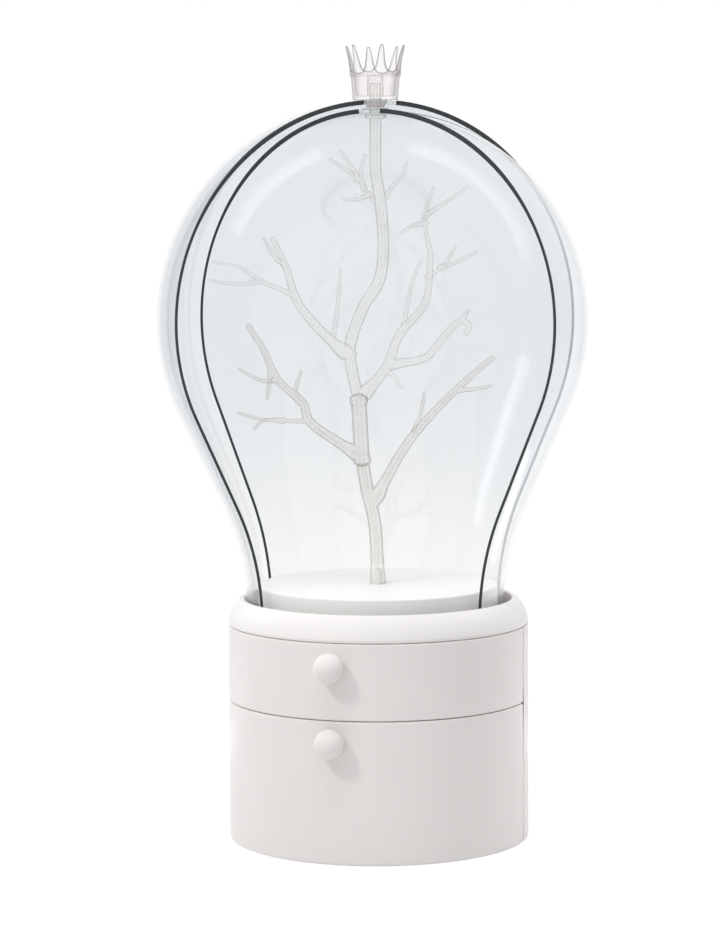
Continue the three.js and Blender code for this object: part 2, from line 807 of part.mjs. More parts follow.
// Thick middle section with a collar at each end.
function middleTrunk(extra = 0) {
  const low = treePoint(lowerNodeShares);
  const high = treePoint(upperNodeShares);
  const direction = high.clone().sub(low).normalize();
  const sleeve = (centre) => {
    const half = direction.clone().multiplyScalar(trunkCollarLength / 2 + extra);
    const ends = [centre.clone().sub(half), centre.clone().add(half)];
    return rod(ends, trunkCollarRadius + extra);
  };
  return join(rod([low, high], middleTrunkRadius + extra), sleeve(low), sleeve(high));
}

// A plain cylinder between two points.
function rod([from, to], radius) {
  const length = from.distanceTo(to);
  const geometry = new THREE.CylinderGeometry(radius, radius, length, trunkSides);
  const turn = new THREE.Quaternion().setFromUnitVectors(
    new THREE.Vector3(0, 1, 0),
    to.clone().sub(from).normalize(),
  );
  const middle = from.clone().lerp(to, 1 / 2);
  return solidOf(geometry.applyQuaternion(turn).translate(middle.x, middle.y, middle.z));
}

// Winding stem; above its shoulder a pin carries the hubs and enters the crown.
function stem(extra = 0) {
  const winding = taper(stemShares, stemRadius, stemRadius, extra, trunkSides);
  const shoulder = ring(
    0,
    stemShoulderRadius + extra,
    stemShoulderTopHeight - stemShoulderThickness,
    stemShoulderTopHeight,
    midSides,
  );
  const pin = ring(0, pinRadius, stemShoulderTopHeight - overrunLength, pinTopHeight, midSides);
  const cap = block(
    [-treeRadius, -treeRadius, stemShoulderTopHeight],
    [treeRadius, treeRadius, totalHeight],
  );
  return join(cut(winding, cap), shoulder, pin);
}

// Branches: the first table runs along the limb, the second holds one row of places a twig.
const leftLowerShares = [
  [-0.091, 0, 0.272],
  [-0.4, -0.08, 0.354],
  [-0.433, -0.1, 0.39],
  [-0.578, -0.14, 0.442],
  [-0.667, -0.16, 0.511],
  [-0.744, -0.18, 0.556],
];
const leftLowerTwigShares = [
  [[-0.46, -0.105, 0.395], [-0.478, -0.13, 0.414], [-0.444, -0.15, 0.461]],
  [[-0.4, -0.08, 0.352], [-0.667, -0.12, 0.358], [-0.811, -0.14, 0.372]],
  [[-0.55, -0.105, 0.355], [-0.672, -0.09, 0.354], [-0.722, -0.08, 0.337]],
  [[-0.578, -0.14, 0.442], [-0.667, -0.2, 0.442], [-0.8, -0.22, 0.467]],
  [[-0.62, -0.15, 0.46], [-0.644, -0.1, 0.402]],
];
const leftUpperShares = [
  [-0.157, 0, 0.495],
  [-0.196, 0.03, 0.499],
  [-0.456, 0.12, 0.596],
  [-0.539, 0.16, 0.681],
  [-0.611, 0.18, 0.737],
];
const leftUpperTwigShares = [
  [[-0.5, 0.14, 0.62], [-0.689, 0.2, 0.648], [-0.811, 0.22, 0.677], [-0.967, 0.24, 0.689]],
  [[-0.689, 0.2, 0.648], [-0.82, 0.25, 0.641], [-0.989, 0.26, 0.648]],
  [[-0.26, 0.05, 0.525], [-0.233, 0.02, 0.58], [-0.211, -0.02, 0.673]],
  [[-0.539, 0.16, 0.681], [-0.6, 0.1, 0.7], [-0.66, 0.06, 0.74]],
];
const rightLowerShares = [
  [-0.022, 0, 0.176],
  [0.172, -0.08, 0.301],
  [0.356, -0.16, 0.382],
  [0.611, -0.24, 0.471],
  [0.667, -0.26, 0.487],
];
const rightLowerTwigShares = [
  [[0.47, -0.195, 0.42], [0.544, -0.24, 0.422], [0.656, -0.3, 0.43]],
  [[0.172, -0.08, 0.301], [0.25, -0.04, 0.36], [0.28, 0, 0.41]],
];
const rightMiddleShares = [
  [-0.1, 0, 0.398],
  [0.05, 0.05, 0.46],
  [0.122, 0.08, 0.523],
  [0.156, 0.1, 0.543],
  [0.289, 0.14, 0.6],
  [0.322, 0.16, 0.701],
];
const rightMiddleTwigShares = [
  [[0.322, 0.16, 0.701], [0.289, 0.18, 0.782], [0.339, 0.2, 0.846]],
  [[0.295, 0.175, 0.77], [0.22, 0.14, 0.765], [0.144, 0.1, 0.749]],
  [[0.29, 0.18, 0.785], [0.36, 0.22, 0.802], [0.544, 0.26, 0.846]],
  [[0.156, 0.1, 0.543], [0.211, 0.04, 0.644], [0.26, 0, 0.69]],
  [[0.305, 0.15, 0.655], [0.4, 0.1, 0.681], [0.467, 0.06, 0.721]],
  [[0.38, 0.11, 0.675], [0.467, 0.14, 0.685], [0.6, 0.18, 0.709]],
  [[0.05, 0.05, 0.46], [0.1, 0.02, 0.445], [0.149, 0, 0.42]],
];
const rightHookShares = [
  [0.06, 0.052, 0.468],
  [0.287, -0.06, 0.486],
  [0.333, -0.09, 0.503],
  [0.49, -0.14, 0.565],
  [0.54, -0.16, 0.554],
  [0.522, -0.17, 0.539],
];
const rightHookTwigShares = [[[0.49, -0.14, 0.565], [0.511, -0.15, 0.576], [0.539, -0.19, 0.588]]];
const topLeftTwigShares = [
  [[0.028, 0, 0.8], [-0.071, -0.03, 0.846], [-0.103, -0.05, 0.863]],
  [[-0.103, -0.05, 0.863], [-0.167, -0.07, 0.883], [-0.267, -0.09, 0.907]],
  [[-0.103, -0.05, 0.863], [-0.128, -0.02, 0.883], [-0.204, 0, 0.923]],
  [[-0.071, -0.03, 0.846], [-0.089, -0.06, 0.875], [-0.062, -0.08, 0.915]],
  [[-0.04, -0.02, 0.832], [-0.111, 0.03, 0.822], [-0.194, 0.05, 0.822]],
];
const topRightTwigShares = [
  [[0.028, 0, 0.81], [0.1, 0.05, 0.85], [0.156, 0.08, 0.871], [0.178, 0.09, 0.899]],
];

const twigs = (rowShares) =>
  rowShares.map((shares) => taper(shares, twigRadius, twigTipRadius, 0, twigSides));

// A branch with its twigs; the radius is the one at its root.
function branch(shares, twigShares, radius = branchRadius) {
  return join(taper(shares, radius, branchTipRadius), ...twigs(twigShares));
}

// A piece without what its carrier and the fitting gap round it take up; a chip cut loose is dropped.
function trimmed(solid, ...carriers) {
  const bodies = cut(solid, ...carriers).decompose();
  return bodies.reduce((largest, body) => (body.volume() > largest.volume() ? body : largest));
}

function tree() {
  const socketTop = turntableTopHeight + boltThreadLength + fitGap;
  const socket = standingPeg(boltRadius + fitGap, 0, 0, turntableTopHeight - overrunLength, socketTop);
  const belowTray = block([-treeRadius, -treeRadius, 0], [treeRadius, treeRadius, turntableTopHeight]);
  const trunkSpace = lowerTrunk(fitGap);
  const middleSpace = middleTrunk(fitGap);
  const stemSpace = stem(fitGap);
  const limbSpace = taper(rightMiddleShares, branchRadius, branchTipRadius, fitGap);
  const solids = {
    lower_trunk: cut(lowerTrunk(), socket, belowTray),
    middle_trunk: trimmed(middleTrunk(), trunkSpace, stemSpace),
    winding_stem: stem(),
    left_lower_branch: trimmed(branch(leftLowerShares, leftLowerTwigShares), trunkSpace, middleSpace),
    left_upper_branch: trimmed(branch(leftUpperShares, leftUpperTwigShares), stemSpace),
    right_lower_branch: trimmed(branch(rightLowerShares, rightLowerTwigShares), trunkSpace),
    right_middle_branch: trimmed(branch(rightMiddleShares, rightMiddleTwigShares), middleSpace, stemSpace),
    right_hook_branch: trimmed(branch(rightHookShares, rightHookTwigShares, 2 * twigRadius), limbSpace),
    top_left_twigs: trimmed(join(...twigs(topLeftTwigShares)), stemSpace),
    top_right_twig: trimmed(join(...twigs(topRightTwigShares)), stemSpace),
  };
  const group = assembly(...Object.entries(solids).map(([name, solid]) => piece(name, solid, treeAcrylic)));
  group.rotation.z = THREE.MathUtils.degToRad(treeDegrees);
  return group;
}

function hubWashers() {
  const washer = (low) =>
    ring(innerHubHoleRadius, hubWasherRadius, low, low + hubWasherThickness, midSides);
  return [
    piece("hub_lower_washer", washer(stemShoulderTopHeight), nylon),
    piece("hub_upper_washer", washer(innerHubTopHeight + turnGap), nylon),
  ];
}

// Crown

const spikeAngleShares = [0, 0.11, 0.19, 0.27, 0.42, 0.65];
const spikeHeightShares = [1, 0.96, 0.8, 0.53, 0.26, 0.07];

// Ring of spikes: its top edge rises to a rounded tip in the middle of each share of the circle,
// and the wall flares out evenly with height.
function spikes() {
  const low = crownLedgeHeight - crownWall;
  const valley = crownLedgeHeight + crownValleyHeight;
  const half = Math.PI / spikeCount;
  const columns = [];
  for (let i = 0; i < spikeCount; i += 1) {
    const middle = (2 * Math.PI * i) / spikeCount - Math.PI / 2;
    const flank = (side) =>
      spikeAngleShares.map((share, k) => [middle + side * share * half, spikeHeightShares[k]]);
    columns.push(...flank(-1).slice(1).reverse(), ...flank(1), [middle + half, 0]);
  }
  const positions = [];
  const index = [];
  const rootRadius = crownBandRadius + crownLedgeWidth;
  const flare = (crownTipRadius - rootRadius) / (totalHeight - crownLedgeHeight);
  const radiusAt = (height) => rootRadius + flare * (height - crownLedgeHeight);
  columns.forEach(([angle, rise], k) => {
    const top = valley + rise * (totalHeight - valley);
    const corners = [
      [radiusAt(low), low],
      [radiusAt(top), top],
      [radiusAt(top) - crownWall, top],
      [radiusAt(low) - crownWall, low],
    ];
    const here = k * corners.length;
    const next = ((k + 1) % columns.length) * corners.length;
    corners.forEach(([radius, height], corner) => {
      const after = (corner + 1) % corners.length;
      positions.push(radius * Math.cos(angle), radius * Math.sin(angle), height);
      index.push(here + corner, next + corner, next + after, here + corner, next + after, here + after);
    });
  });
  const geometry = new THREE.BufferGeometry();
  geometry.setAttribute("position", new THREE.Float32BufferAttribute(positions, 3));
  geometry.setIndex(index);
  return solidOf(geometry);
}

// Crown: tapered neck, round band with a floor, round socket in the middle and the spikes.
function crown() {
  const floorTop = crownFootHeight + crownFloor;
  const band = turned(
    [
      [0, crownNeckFootHeight],
      [crownNeckFootRadius, crownNeckFootHeight],
      [crownNeckTopRadius, crownFootHeight - crownGap],
      [crownNeckTopRadius, crownFootHeight],
      [crownFootRadius, crownFootHeight],
      [crownBandRadius, crownLedgeHeight],
      [crownBandRadius - crownWall, crownLedgeHeight],
      [crownFootRadius - crownWall, floorTop],
      [0, floorTop],
    ],
    midSides,
  );
  const boss = ring(0, crownBossRadius, floorTop - crownFloor / 2, floorTop + crownBossHeight, midSides);
  const socketFoot = crownNeckFootHeight - overrunLength;
  const socket = ring(0, pinRadius + fitGap, socketFoot, pinTopHeight + fitGap, midSides);
  return cut(join(band, spikes().rotate([0, 0, spikeDegrees]), boss), socket);
}

// Whole box

const screws = raceScrews();
const lowerRace = race(deckTopHeight + raceThickness, deckTopHeight, 1);
const box = new THREE.Group();
box.name = "rotating_jewelry_box";
box.add(
  base(),
  drawer(
    "lower",
    floorTopHeight + trayFloorGap,
    shelfBottomHeight - rimGap,
    frontFootHeight,
    frontSplitHeight - frontSplitHalfGap,
    lowerKnobHeight,
  ),
  drawer(
    "upper",
    shelfTopHeight + trayFloorGap,
    deckBottomHeight - trayRimGap,
    frontSplitHeight + frontSplitHalfGap,
    deckTopHeight - frontTopGap,
    upperKnobHeight,
  ),
  assembly(piece("bearing_lower_race", lowerRace, steel), ...screws.lower),
  assembly(piece("bearing_cage", cage(), nylon), ...balls()),
  assembly(...carouselDrive(screws.upper), tree(), ...hubWashers(), piece("crown", crown(), crownAcrylic)),
  cover("outer", outerSizes),
  cover("inner", innerSizes),
);

export default box;
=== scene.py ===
"""Looks of the rotating jewelry box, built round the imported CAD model.

Shapes are written in millimetres, as the maker's drawing has them, and go into the meshes in metres.
Every form is a profile turned or carried along a path, worked out with numpy as whole arrays.
"""

import math

import bpy
import numpy as np
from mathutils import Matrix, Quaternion, Vector


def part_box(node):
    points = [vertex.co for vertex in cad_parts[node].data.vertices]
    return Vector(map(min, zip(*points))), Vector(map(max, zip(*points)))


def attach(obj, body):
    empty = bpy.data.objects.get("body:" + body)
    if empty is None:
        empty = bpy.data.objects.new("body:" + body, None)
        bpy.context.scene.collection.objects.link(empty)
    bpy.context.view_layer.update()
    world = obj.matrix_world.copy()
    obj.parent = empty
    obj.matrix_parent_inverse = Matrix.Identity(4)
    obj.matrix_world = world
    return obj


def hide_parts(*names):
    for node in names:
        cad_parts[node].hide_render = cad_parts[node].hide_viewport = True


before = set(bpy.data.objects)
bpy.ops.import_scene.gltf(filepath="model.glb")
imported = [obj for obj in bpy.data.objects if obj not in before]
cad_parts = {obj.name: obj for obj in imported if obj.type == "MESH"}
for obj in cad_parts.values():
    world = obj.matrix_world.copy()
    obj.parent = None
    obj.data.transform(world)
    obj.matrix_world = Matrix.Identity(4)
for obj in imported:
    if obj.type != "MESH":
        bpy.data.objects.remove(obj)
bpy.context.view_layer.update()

millimetre = 0.001


def low(node, axis):
    """Lowest coordinate of a CAD node along an axis, in millimetres."""
    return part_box(node)[0][axis] / millimetre


def high(node, axis):
    """Highest coordinate of a CAD node along an axis, in millimetres."""
    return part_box(node)[1][axis] / millimetre


# Radii, from the casing inwards
base_radius = high("collar_ring", 0)
casing_wall = 2.4
casing_inner = base_radius - casing_wall
tray_radius = high("lower_drawer_tray", 0)
front_inner = tray_radius + 0.3
deck_radius = front_inner - 0.4
deck_root = deck_radius - 3.0
bolt_hole = 2.35
collar_inner = base_radius - 8.8
collar_lip = 2.3
turntable_radius = high("turntable", 0)
rib_radius = 67.6
cover_wall = 1.6
cover_spacing = 1.6
cover_overlap = 6.0
outer_neck = 70.0
inner_neck = 66.8
dome_radius = 116.0
inner_dome = 111.4
outer_sweep = 140.96
inner_sweep = outer_sweep + cover_wall + cover_spacing

# Small distances: off the ground, off the seam between front and rear, between faces that would
# coincide, and the depth to which one shell of a piece runs into the next
ground_gap = 0.35
seam_gap = 0.3
hair = 0.02
lap = 0.05

# Heights, from the underside up
pad_top = high("non_slip_pad", 2)
floor_top = pad_top + 2.5
shelf_bottom = low("middle_shelf", 2)
shelf_top = high("middle_shelf", 2)
deck_bottom = high("base_casing", 2)
deck_top = low("collar_ring", 2)
collar_top = high("collar_ring", 2)
turntable_foot = low("turntable", 2)
turntable_top = high("turntable", 2)
turntable_under = turntable_top - 2.5
cover_foot = low("outer_cover", 2)
sweep_centre = deck_top + 5.0
dome_centre = sweep_centre + 155.5
stem_shoulder_top = low("hub_lower_washer", 2)
outer_hub_top = high("outer_cover", 2)
crown_neck_foot = low("crown", 2)
crown_foot = outer_hub_top + 0.5
crown_ledge = crown_foot + 14.0
crown_tip = high("crown", 2)
pin_top = high("winding_stem", 2)

# Angles
outer_turn = math.radians(41.8)
inner_turn = math.radians(-15.2)
tree_turn = math.radians(17.3)
spike_turn = math.radians(30.3)

turn_steps = 160
half_turn_steps = 96


# Meshes

def grid_quads(rows, columns, wrap_rows):
    """Quads between neighbouring points of a grid whose columns close on themselves."""
    row = np.arange(rows if wrap_rows else rows - 1)[:, None]
    column = np.arange(columns)[None, :]
    next_row = (row + 1) % rows
    next_column = (column + 1) % columns
    corners = [row * columns + column, next_row * columns + column,
               next_row * columns + next_column, row * columns + next_column]
    return np.stack(np.broadcast_arrays(*corners), axis=-1).reshape(-1, 4)


def volume(points, faces):
    """Six times the signed volume: the sum of corner triple products over each face's fan."""
    total = 0.0
    for block in faces:
        corner = points[block]
        for k in range(1, block.shape[1] - 1):
            total += np.einsum("ij,ij->", corner[:, 0], np.cross(corner[:, k], corner[:, k + 1]))
    return total


def skin(grid, wrap=False, poles=(None, None)):
    """Closed shell over a grid of points: quads between rows, and each end closed flat or to a pole."""
    rows, columns = grid.shape[:2]
    points = grid.reshape(-1, 3)
    faces = [grid_quads(rows, columns, wrap)]
    ring = np.arange(columns)
    for pole, first, backwards in ((poles[0], 0, True), (poles[1], (rows - 1) * columns, False)):
        if wrap:
            continue
        edge = first + (ring[::-1] if backwards else ring)
        if pole is None:
            faces.append(edge[::-1][None, :])
        else:
            tip = np.full(columns, len(points))
            points = np.vstack([points, pole])
            faces.append(np.stack([np.roll(edge, -1), edge, tip], axis=-1))
    if volume(points, faces) < 0:
        faces = [block[:, ::-1] for block in faces]
    return points, faces


def mesh_of(name, shells):
    """One mesh from several closed shells, in metres."""
    start = 0
    corners = []
    for points, faces in shells:
        for block in faces:
            corners.extend((block + start).tolist())
        start += len(points)
    points = np.vstack([points for points, _ in shells]) * millimetre
    mesh = bpy.data.meshes.new(name)
    mesh.from_pydata(points.tolist(), [], corners)
    return mesh


def fused(name, shells, cut=()):
    """One body from closed shells that overlap, by a boolean union, less the shells in cut."""
    parts = []
    for shell in [*shells, *cut]:
        part = bpy.data.objects.new(name + "_part", mesh_of(name + "_part", [shell]))
        bpy.context.scene.collection.objects.link(part)
        parts.append(part)
    for k, other in enumerate(parts[1:], 1):
        joint = parts[0].modifiers.new("joint", "BOOLEAN")
        joint.operation = "UNION" if k < len(shells) else "DIFFERENCE"
        joint.solver = "MANIFOLD"
        joint.object = other
    graph = bpy.context.evaluated_depsgraph_get()
    mesh = bpy.data.meshes.new_from_object(parts[0].evaluated_get(graph))
    mesh.name = name
    for part in parts:
        bpy.data.meshes.remove(part.data)
    return mesh


def piece(name, mesh, body, material, slot, *nodes, sharp_degrees=38):
    """A finished piece with smooth shading, its finish, its body and the CAD nodes that it stands for."""
    made = bpy.data.objects.new(name, mesh)
    bpy.context.scene.collection.objects.link(made)
    mesh.materials.clear()
    mesh.materials.append(material)
    mesh.shade_smooth()
    mesh.set_sharp_from_angle(angle=math.radians(sharp_degrees))
    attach(made, body)
    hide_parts(*nodes)


def built(name, shells, *about):
    """A finished piece whose mesh is made from its shells."""
    piece(name, mesh_of(name, shells), *about)


# Outlines

def rounded(corners, steps=5, hold=0.3):
    """Closed outline through corners (across, up, radius): every corner turns into an arc that
    touches both of its sides, with a hold point on each side just clear of the arc."""
    spots = np.array([corner[:2] for corner in corners], float)
    outline = []
    for k, (_, _, radius) in enumerate(corners):
        spot = spots[k]
        if radius == 0:
            outline.append(spot[None, :])
            continue
        back = spots[k - 1] - spot
        ahead = spots[(k + 1) % len(spots)] - spot
        back /= np.linalg.norm(back)
        ahead /= np.linalg.norm(ahead)
        half = math.acos(np.clip(back @ ahead, -1, 1)) / 2
        reach = radius / math.tan(half)
        middle = (back + ahead) / np.linalg.norm(back + ahead)
        centre = spot + middle * radius / math.sin(half)
        first = math.atan2(*(spot + back * reach - centre)[::-1])
        last = math.atan2(*(spot + ahead * reach - centre)[::-1])
        sweep = (last - first + math.pi) % (2 * math.pi) - math.pi
        angle = first + sweep * np.linspace(0, 1, steps + 1)
        arc = centre + radius * np.stack([np.cos(angle), np.sin(angle)], axis=-1)
        holds = [(spot + side * (reach + hold * radius))[None, :] for side in (back, ahead)]
        outline += [holds[0], arc, holds[1]]
    return np.vstack(outline)


def panel(inner, bottom, outer, top, radii):
    """Rectangle with rounded corners, whose radii run from the lower inner corner outwards and up."""
    corners = ((inner, bottom), (outer, bottom), (outer, top), (inner, top))
    return rounded([(*corner, radius) for corner, radius in zip(corners, radii)])


def outward(outline):
    """Unit normals of a closed outline, pointing out of it: the chord between neighbours, turned."""
    chord = np.roll(outline, -1, axis=0) - np.roll(outline, 1, axis=0)
    chord /= np.linalg.norm(chord, axis=1, keepdims=True)
    normal = np.stack([chord[:, 1], -chord[:, 0]], axis=-1)
    x, y = outline.T
    area = np.sum(x * np.roll(y, -1) - y * np.roll(x, -1))
    return normal * np.sign(area)


def ring_angles(count):
    """Equal steps round a full turn."""
    return np.arange(count) * 2 * math.pi / count


def around(outline, angles):
    """Grid of points: each (radius, height) of the outline carried to each angle round the Z axis."""
    radius, height = outline[None, :, 0], outline[None, :, 1]
    angle = np.asarray(angles)[:, None]
    height = np.broadcast_to(height, (len(angle), outline.shape[0]))
    return np.stack([radius * np.cos(angle), radius * np.sin(angle), height], axis=-1)


def turned(outline, steps=turn_steps):
    """Ring: a closed outline turned all the way round."""
    return skin(around(np.asarray(outline), ring_angles(steps)), wrap=True)


def turned_solid(outline, steps=turn_steps):
    """Solid of revolution: an outline whose first and last point lie on the axis."""
    outline = np.asarray(outline, float)
    grid = around(outline[1:-1], ring_angles(steps)).swapaxes(0, 1)
    poles = [(0, 0, outline[0, 1]), (0, 0, outline[-1, 1])]
    return skin(grid, poles=poles)


def half_ring(outline, cut, edge, side=1, steps=half_turn_steps):
    """Half a ring beyond the plane at distance cut: each point runs from the plane round to the plane.
    Near both ends the outline is drawn in along its normals by edge (1 - sin t) while it moves away
    from the plane by edge (1 - cos t), which rounds the ends. Side -1 gives the half towards -Y."""
    t = np.linspace(0, math.pi / 2, 6)
    away = cut + edge * (1 - np.cos(t))
    inset = edge * (1 - np.sin(t))
    hold = cut + 1.3 * edge
    share = np.linspace(0, 1, steps + 1)
    away = np.concatenate([away, [hold], np.full(len(share) - 2, hold), [hold], away[::-1]])
    inset = np.concatenate([inset, np.zeros(len(share)), inset[::-1]])
    share = np.concatenate([np.zeros(len(t)), share, np.ones(len(t))])
    points = outline[None] - inset[:, None, None] * outward(outline)[None]
    radius, height = points[..., 0], points[..., 1]
    start = np.arcsin(np.clip(away[:, None] / radius, -1, 1))
    angle = start + share[:, None] * (math.pi - 2 * start)
    grid = np.stack([side * radius * np.cos(angle), side * radius * np.sin(angle), height], axis=-1)
    return skin(grid)


def spun(shell, angle):
    """A shell turned about the Z axis."""
    points, faces = shell
    c, s = math.cos(angle), math.sin(angle)
    x, y, z = points.T
    return np.stack([c * x - s * y, s * x + c * y, z], axis=-1), faces


# Finishes

def new_material(name):
    material = bpy.data.materials.new(name)
    material.use_nodes = True
    material.node_tree.nodes.clear()
    return material, material.node_tree


def add(tree, kind, inputs=None, **settings):
    """A shader node with its settings, and its inputs given as values or as sockets to link from."""
    made = tree.nodes.new(kind)
    for key, value in settings.items():
        setattr(made, key, value)
    for key, value in (inputs or {}).items():
        if isinstance(value, bpy.types.NodeSocket):
            tree.links.new(value, made.inputs[key])
        else:
            made.inputs[key].default_value = value
    return made


def patterned(name):
    """A new material, and the object's own coordinates that its patterns follow."""
    material, tree = new_material(name)
    return material, tree, add(tree, "ShaderNodeTexCoord").outputs["Object"]


def principled(tree, colour, roughness, others):
    sockets = {"Base Color": colour, "Roughness": roughness, **others}
    return add(tree, "ShaderNodeBsdfPrincipled", sockets)


def noise(tree, where, scale, detail=3.0):
    made = add(tree, "ShaderNodeTexNoise", {"Vector": where, "Scale": scale, "Detail": detail})
    return made.outputs["Fac"]


def mapped(tree, value, to_low, to_high, from_low=0.0, from_high=1.0):
    limits = {"From Min": from_low, "From Max": from_high, "To Min": to_low, "To Max": to_high}
    return add(tree, "ShaderNodeMapRange", {"Value": value, **limits}).outputs["Result"]


def blended(tree, share, first, second):
    made = add(tree, "ShaderNodeMix", data_type="RGBA")
    tree.links.new(share, made.inputs["Factor"])
    for socket, colour in ((made.inputs[6], first), (made.inputs[7], second)):
        if isinstance(colour, bpy.types.NodeSocket):
            tree.links.new(colour, socket)
        else:
            socket.default_value = colour
    return made.outputs[2]


def shade(colour, factor):
    return (*[min(1.0, value * factor) for value in colour[:3]], 1.0)


def worked(tree, operation, *values, clamp=False):
    """One step of arithmetic on numbers or sockets."""
    made = add(tree, "ShaderNodeMath", dict(enumerate(values)), operation=operation, use_clamp=clamp)
    return made.outputs[0]


def bumped(tree, height, strength, depth):
    """Normals of a surface that rises with height, by depth in metres."""
    bump = add(tree, "ShaderNodeBump", {"Strength": strength, "Distance": depth, "Height": height})
    return bump.outputs["Normal"]


def mixed(tree, share, first, second):
    """The second shader over the first, by share."""
    return add(tree, "ShaderNodeMixShader", {0: share, 1: first.outputs[0], 2: second.outputs[0]})


def shown(tree, shader, kind="ShaderNodeOutputMaterial"):
    add(tree, kind, {"Surface": shader.outputs[0]})


def moulded_plastic(name, colour, roughness):
    """Satin moulded plastic: faint clouding of the tint, uneven gloss and a fine moulded grain."""
    cloud_share = 0.014
    grain_metres = 0.00003
    material, tree, where = patterned(name)
    cloud = mapped(tree, noise(tree, where, 14.0), 0.0, 1.0, 0.3, 0.7)
    tint = blended(tree, cloud, shade(colour, 1 - cloud_share), shade(colour, 1 + cloud_share))
    gloss = mapped(tree, noise(tree, where, 60.0), roughness - 0.04, roughness + 0.05, 0.3, 0.7)
    grain = noise(tree, where, 1700.0, 2.0)
    normal = bumped(tree, grain, 0.5, grain_metres)
    shown(tree, principled(tree, tint, gloss, {"Normal": normal, "IOR": 1.46}))
    return material


def matt_rubber(name, colour, roughness):
    """Rubber: dull, with fine dusty specks and a pebbled surface."""
    speck_share = 0.25
    pebble_metres = 0.00004
    material, tree, where = patterned(name)
    dust = mapped(tree, noise(tree, where, 420.0), 0.0, 1.0, 0.42, 0.72)
    tint = blended(tree, dust, shade(colour, 1.0), shade(colour, 1 + speck_share))
    pebble = noise(tree, where, 2600.0, 2.0)
    normal = bumped(tree, pebble, 0.6, pebble_metres)
    shown(tree, principled(tree, tint, roughness, {"Normal": normal}))
    return material


def plated_steel(name, colour, roughness):
    """Zinc-plated steel: brushed along Z with faint cloudy passivation."""
    material, tree, where = patterned(name)
    stretch = add(tree, "ShaderNodeMapping", {"Vector": where, "Scale": (1.0, 1.0, 0.08)})
    brushed = noise(tree, stretch.outputs["Vector"], 2200.0, 4.0)
    cloud = mapped(tree, noise(tree, where, 160.0), 0.0, 1.0, 0.35, 0.7)
    tint = blended(tree, cloud, shade(colour, 0.9), shade(colour, 1.06))
    gloss = mapped(tree, brushed, roughness - 0.07, roughness + 0.1, 0.3, 0.7)
    shown(tree, principled(tree, tint, gloss, {"Metallic": 1.0}))
    return material


def clear_sheet(name, tint_low, tint_high, height_low, height_high, roughness):
    """Clear blown plastic: see-through with a faint tint that is lighter towards its foot, and a
    mirror-like surface whose share is 0.04 + 0.96 f^5, where f is how far the surface turns away."""
    wave_metres = 0.0004
    material, tree, where = patterned(name)
    height = add(tree, "ShaderNodeSeparateXYZ", {"Vector": where}).outputs["Z"]
    rise = mapped(tree, height, 0.0, 1.0, height_low, height_high)
    cloud = mapped(tree, noise(tree, where, 11.0, 2.0), -0.12, 0.12, 0.3, 0.7)
    share = worked(tree, "ADD", rise, cloud, clamp=True)
    tint = blended(tree, share, tint_low, tint_high)
    through = add(tree, "ShaderNodeBsdfTransparent", {"Color": tint})
    waves = bumped(tree, noise(tree, where, 24.0, 1.0), 0.25, wave_metres)
    smudge = mapped(tree, noise(tree, where, 85.0), roughness, roughness + 0.06, 0.45, 0.75)
    surface = principled(tree, (0.97, 0.98, 0.99, 1.0), smudge, {"Metallic": 1.0, "Normal": waves})
    facing = add(tree, "ShaderNodeLayerWeight", {"Blend": 0.5}).outputs["Facing"]
    mirror = mapped(tree, worked(tree, "POWER", facing, 5.0), 0.04, 1.0)
    shown(tree, mixed(tree, mirror, through, surface))
    return material


def clear_solid(name, tint, body_colour, painted_rim_shade_colour, stops, roughness, foot):
    """Solid cast acrylic: see-through, with a density that follows how far the surface turns away, by
    straight lines between stops (turned away, density); the stops paint a clear rod's refraction lines,
    denser bands as painted shade and a clearer band as painted highlight. The colour darkens towards the
    rim by its square, a painted shade in place of what a clear rod gathers from beside it into lines
    along its edges; faint streaks inside. Below foot, given as (height, change), the density changes. A
    piece may mark its bevels with the attribute edge_share, and they are denser and darker, a painted
    shade along the bevels."""
    foot_blur = 0.0006
    painted_bevel_density = 0.36
    material, tree, where = patterned(name)
    facing = add(tree, "ShaderNodeLayerWeight", {"Blend": 0.5}).outputs["Facing"]
    turned_away = worked(tree, "POWER", facing, 2.0)
    # Painted refraction lines: the stops make denser bands (painted shade) and a clearer band (painted
    # highlight)
    lines = add(tree, "ShaderNodeValToRGB", {"Fac": facing})
    ramp = lines.color_ramp.elements
    while len(ramp) < len(stops):
        ramp.new(0.5)
    for element, (place, density) in zip(ramp, stops):
        element.position = place
        element.color = (density, density, density, 1.0)
    streak = mapped(tree, noise(tree, where, 130.0), -0.03, 0.05, 0.3, 0.7)
    height = add(tree, "ShaderNodeSeparateXYZ", {"Vector": where}).outputs["Z"]
    foot_height, foot_change = foot
    deep = mapped(tree, height, foot_change, 0.0, foot_height - foot_blur, foot_height + foot_blur)
    change = worked(tree, "ADD", streak, deep)
    edge = add(tree, "ShaderNodeAttribute", attribute_name="edge_share").outputs["Fac"]
    # Marked bevels get more density, part of the painted shade along them
    more = worked(tree, "MULTIPLY_ADD", edge, painted_bevel_density, change)
    density = worked(tree, "ADD", lines.outputs["Color"], more, clamp=True)
    # Painted shade: the colour darkens towards the rim and along marked bevels, in place of refraction
    painted_shade_share = worked(tree, "MAXIMUM", edge, turned_away)
    colour = blended(tree, painted_shade_share, body_colour, painted_rim_shade_colour)
    through = add(tree, "ShaderNodeBsdfTransparent", {"Color": tint})
    surface = principled(tree, colour, roughness, {"IOR": 1.49})
    shown(tree, mixed(tree, density, through, surface))
    return material


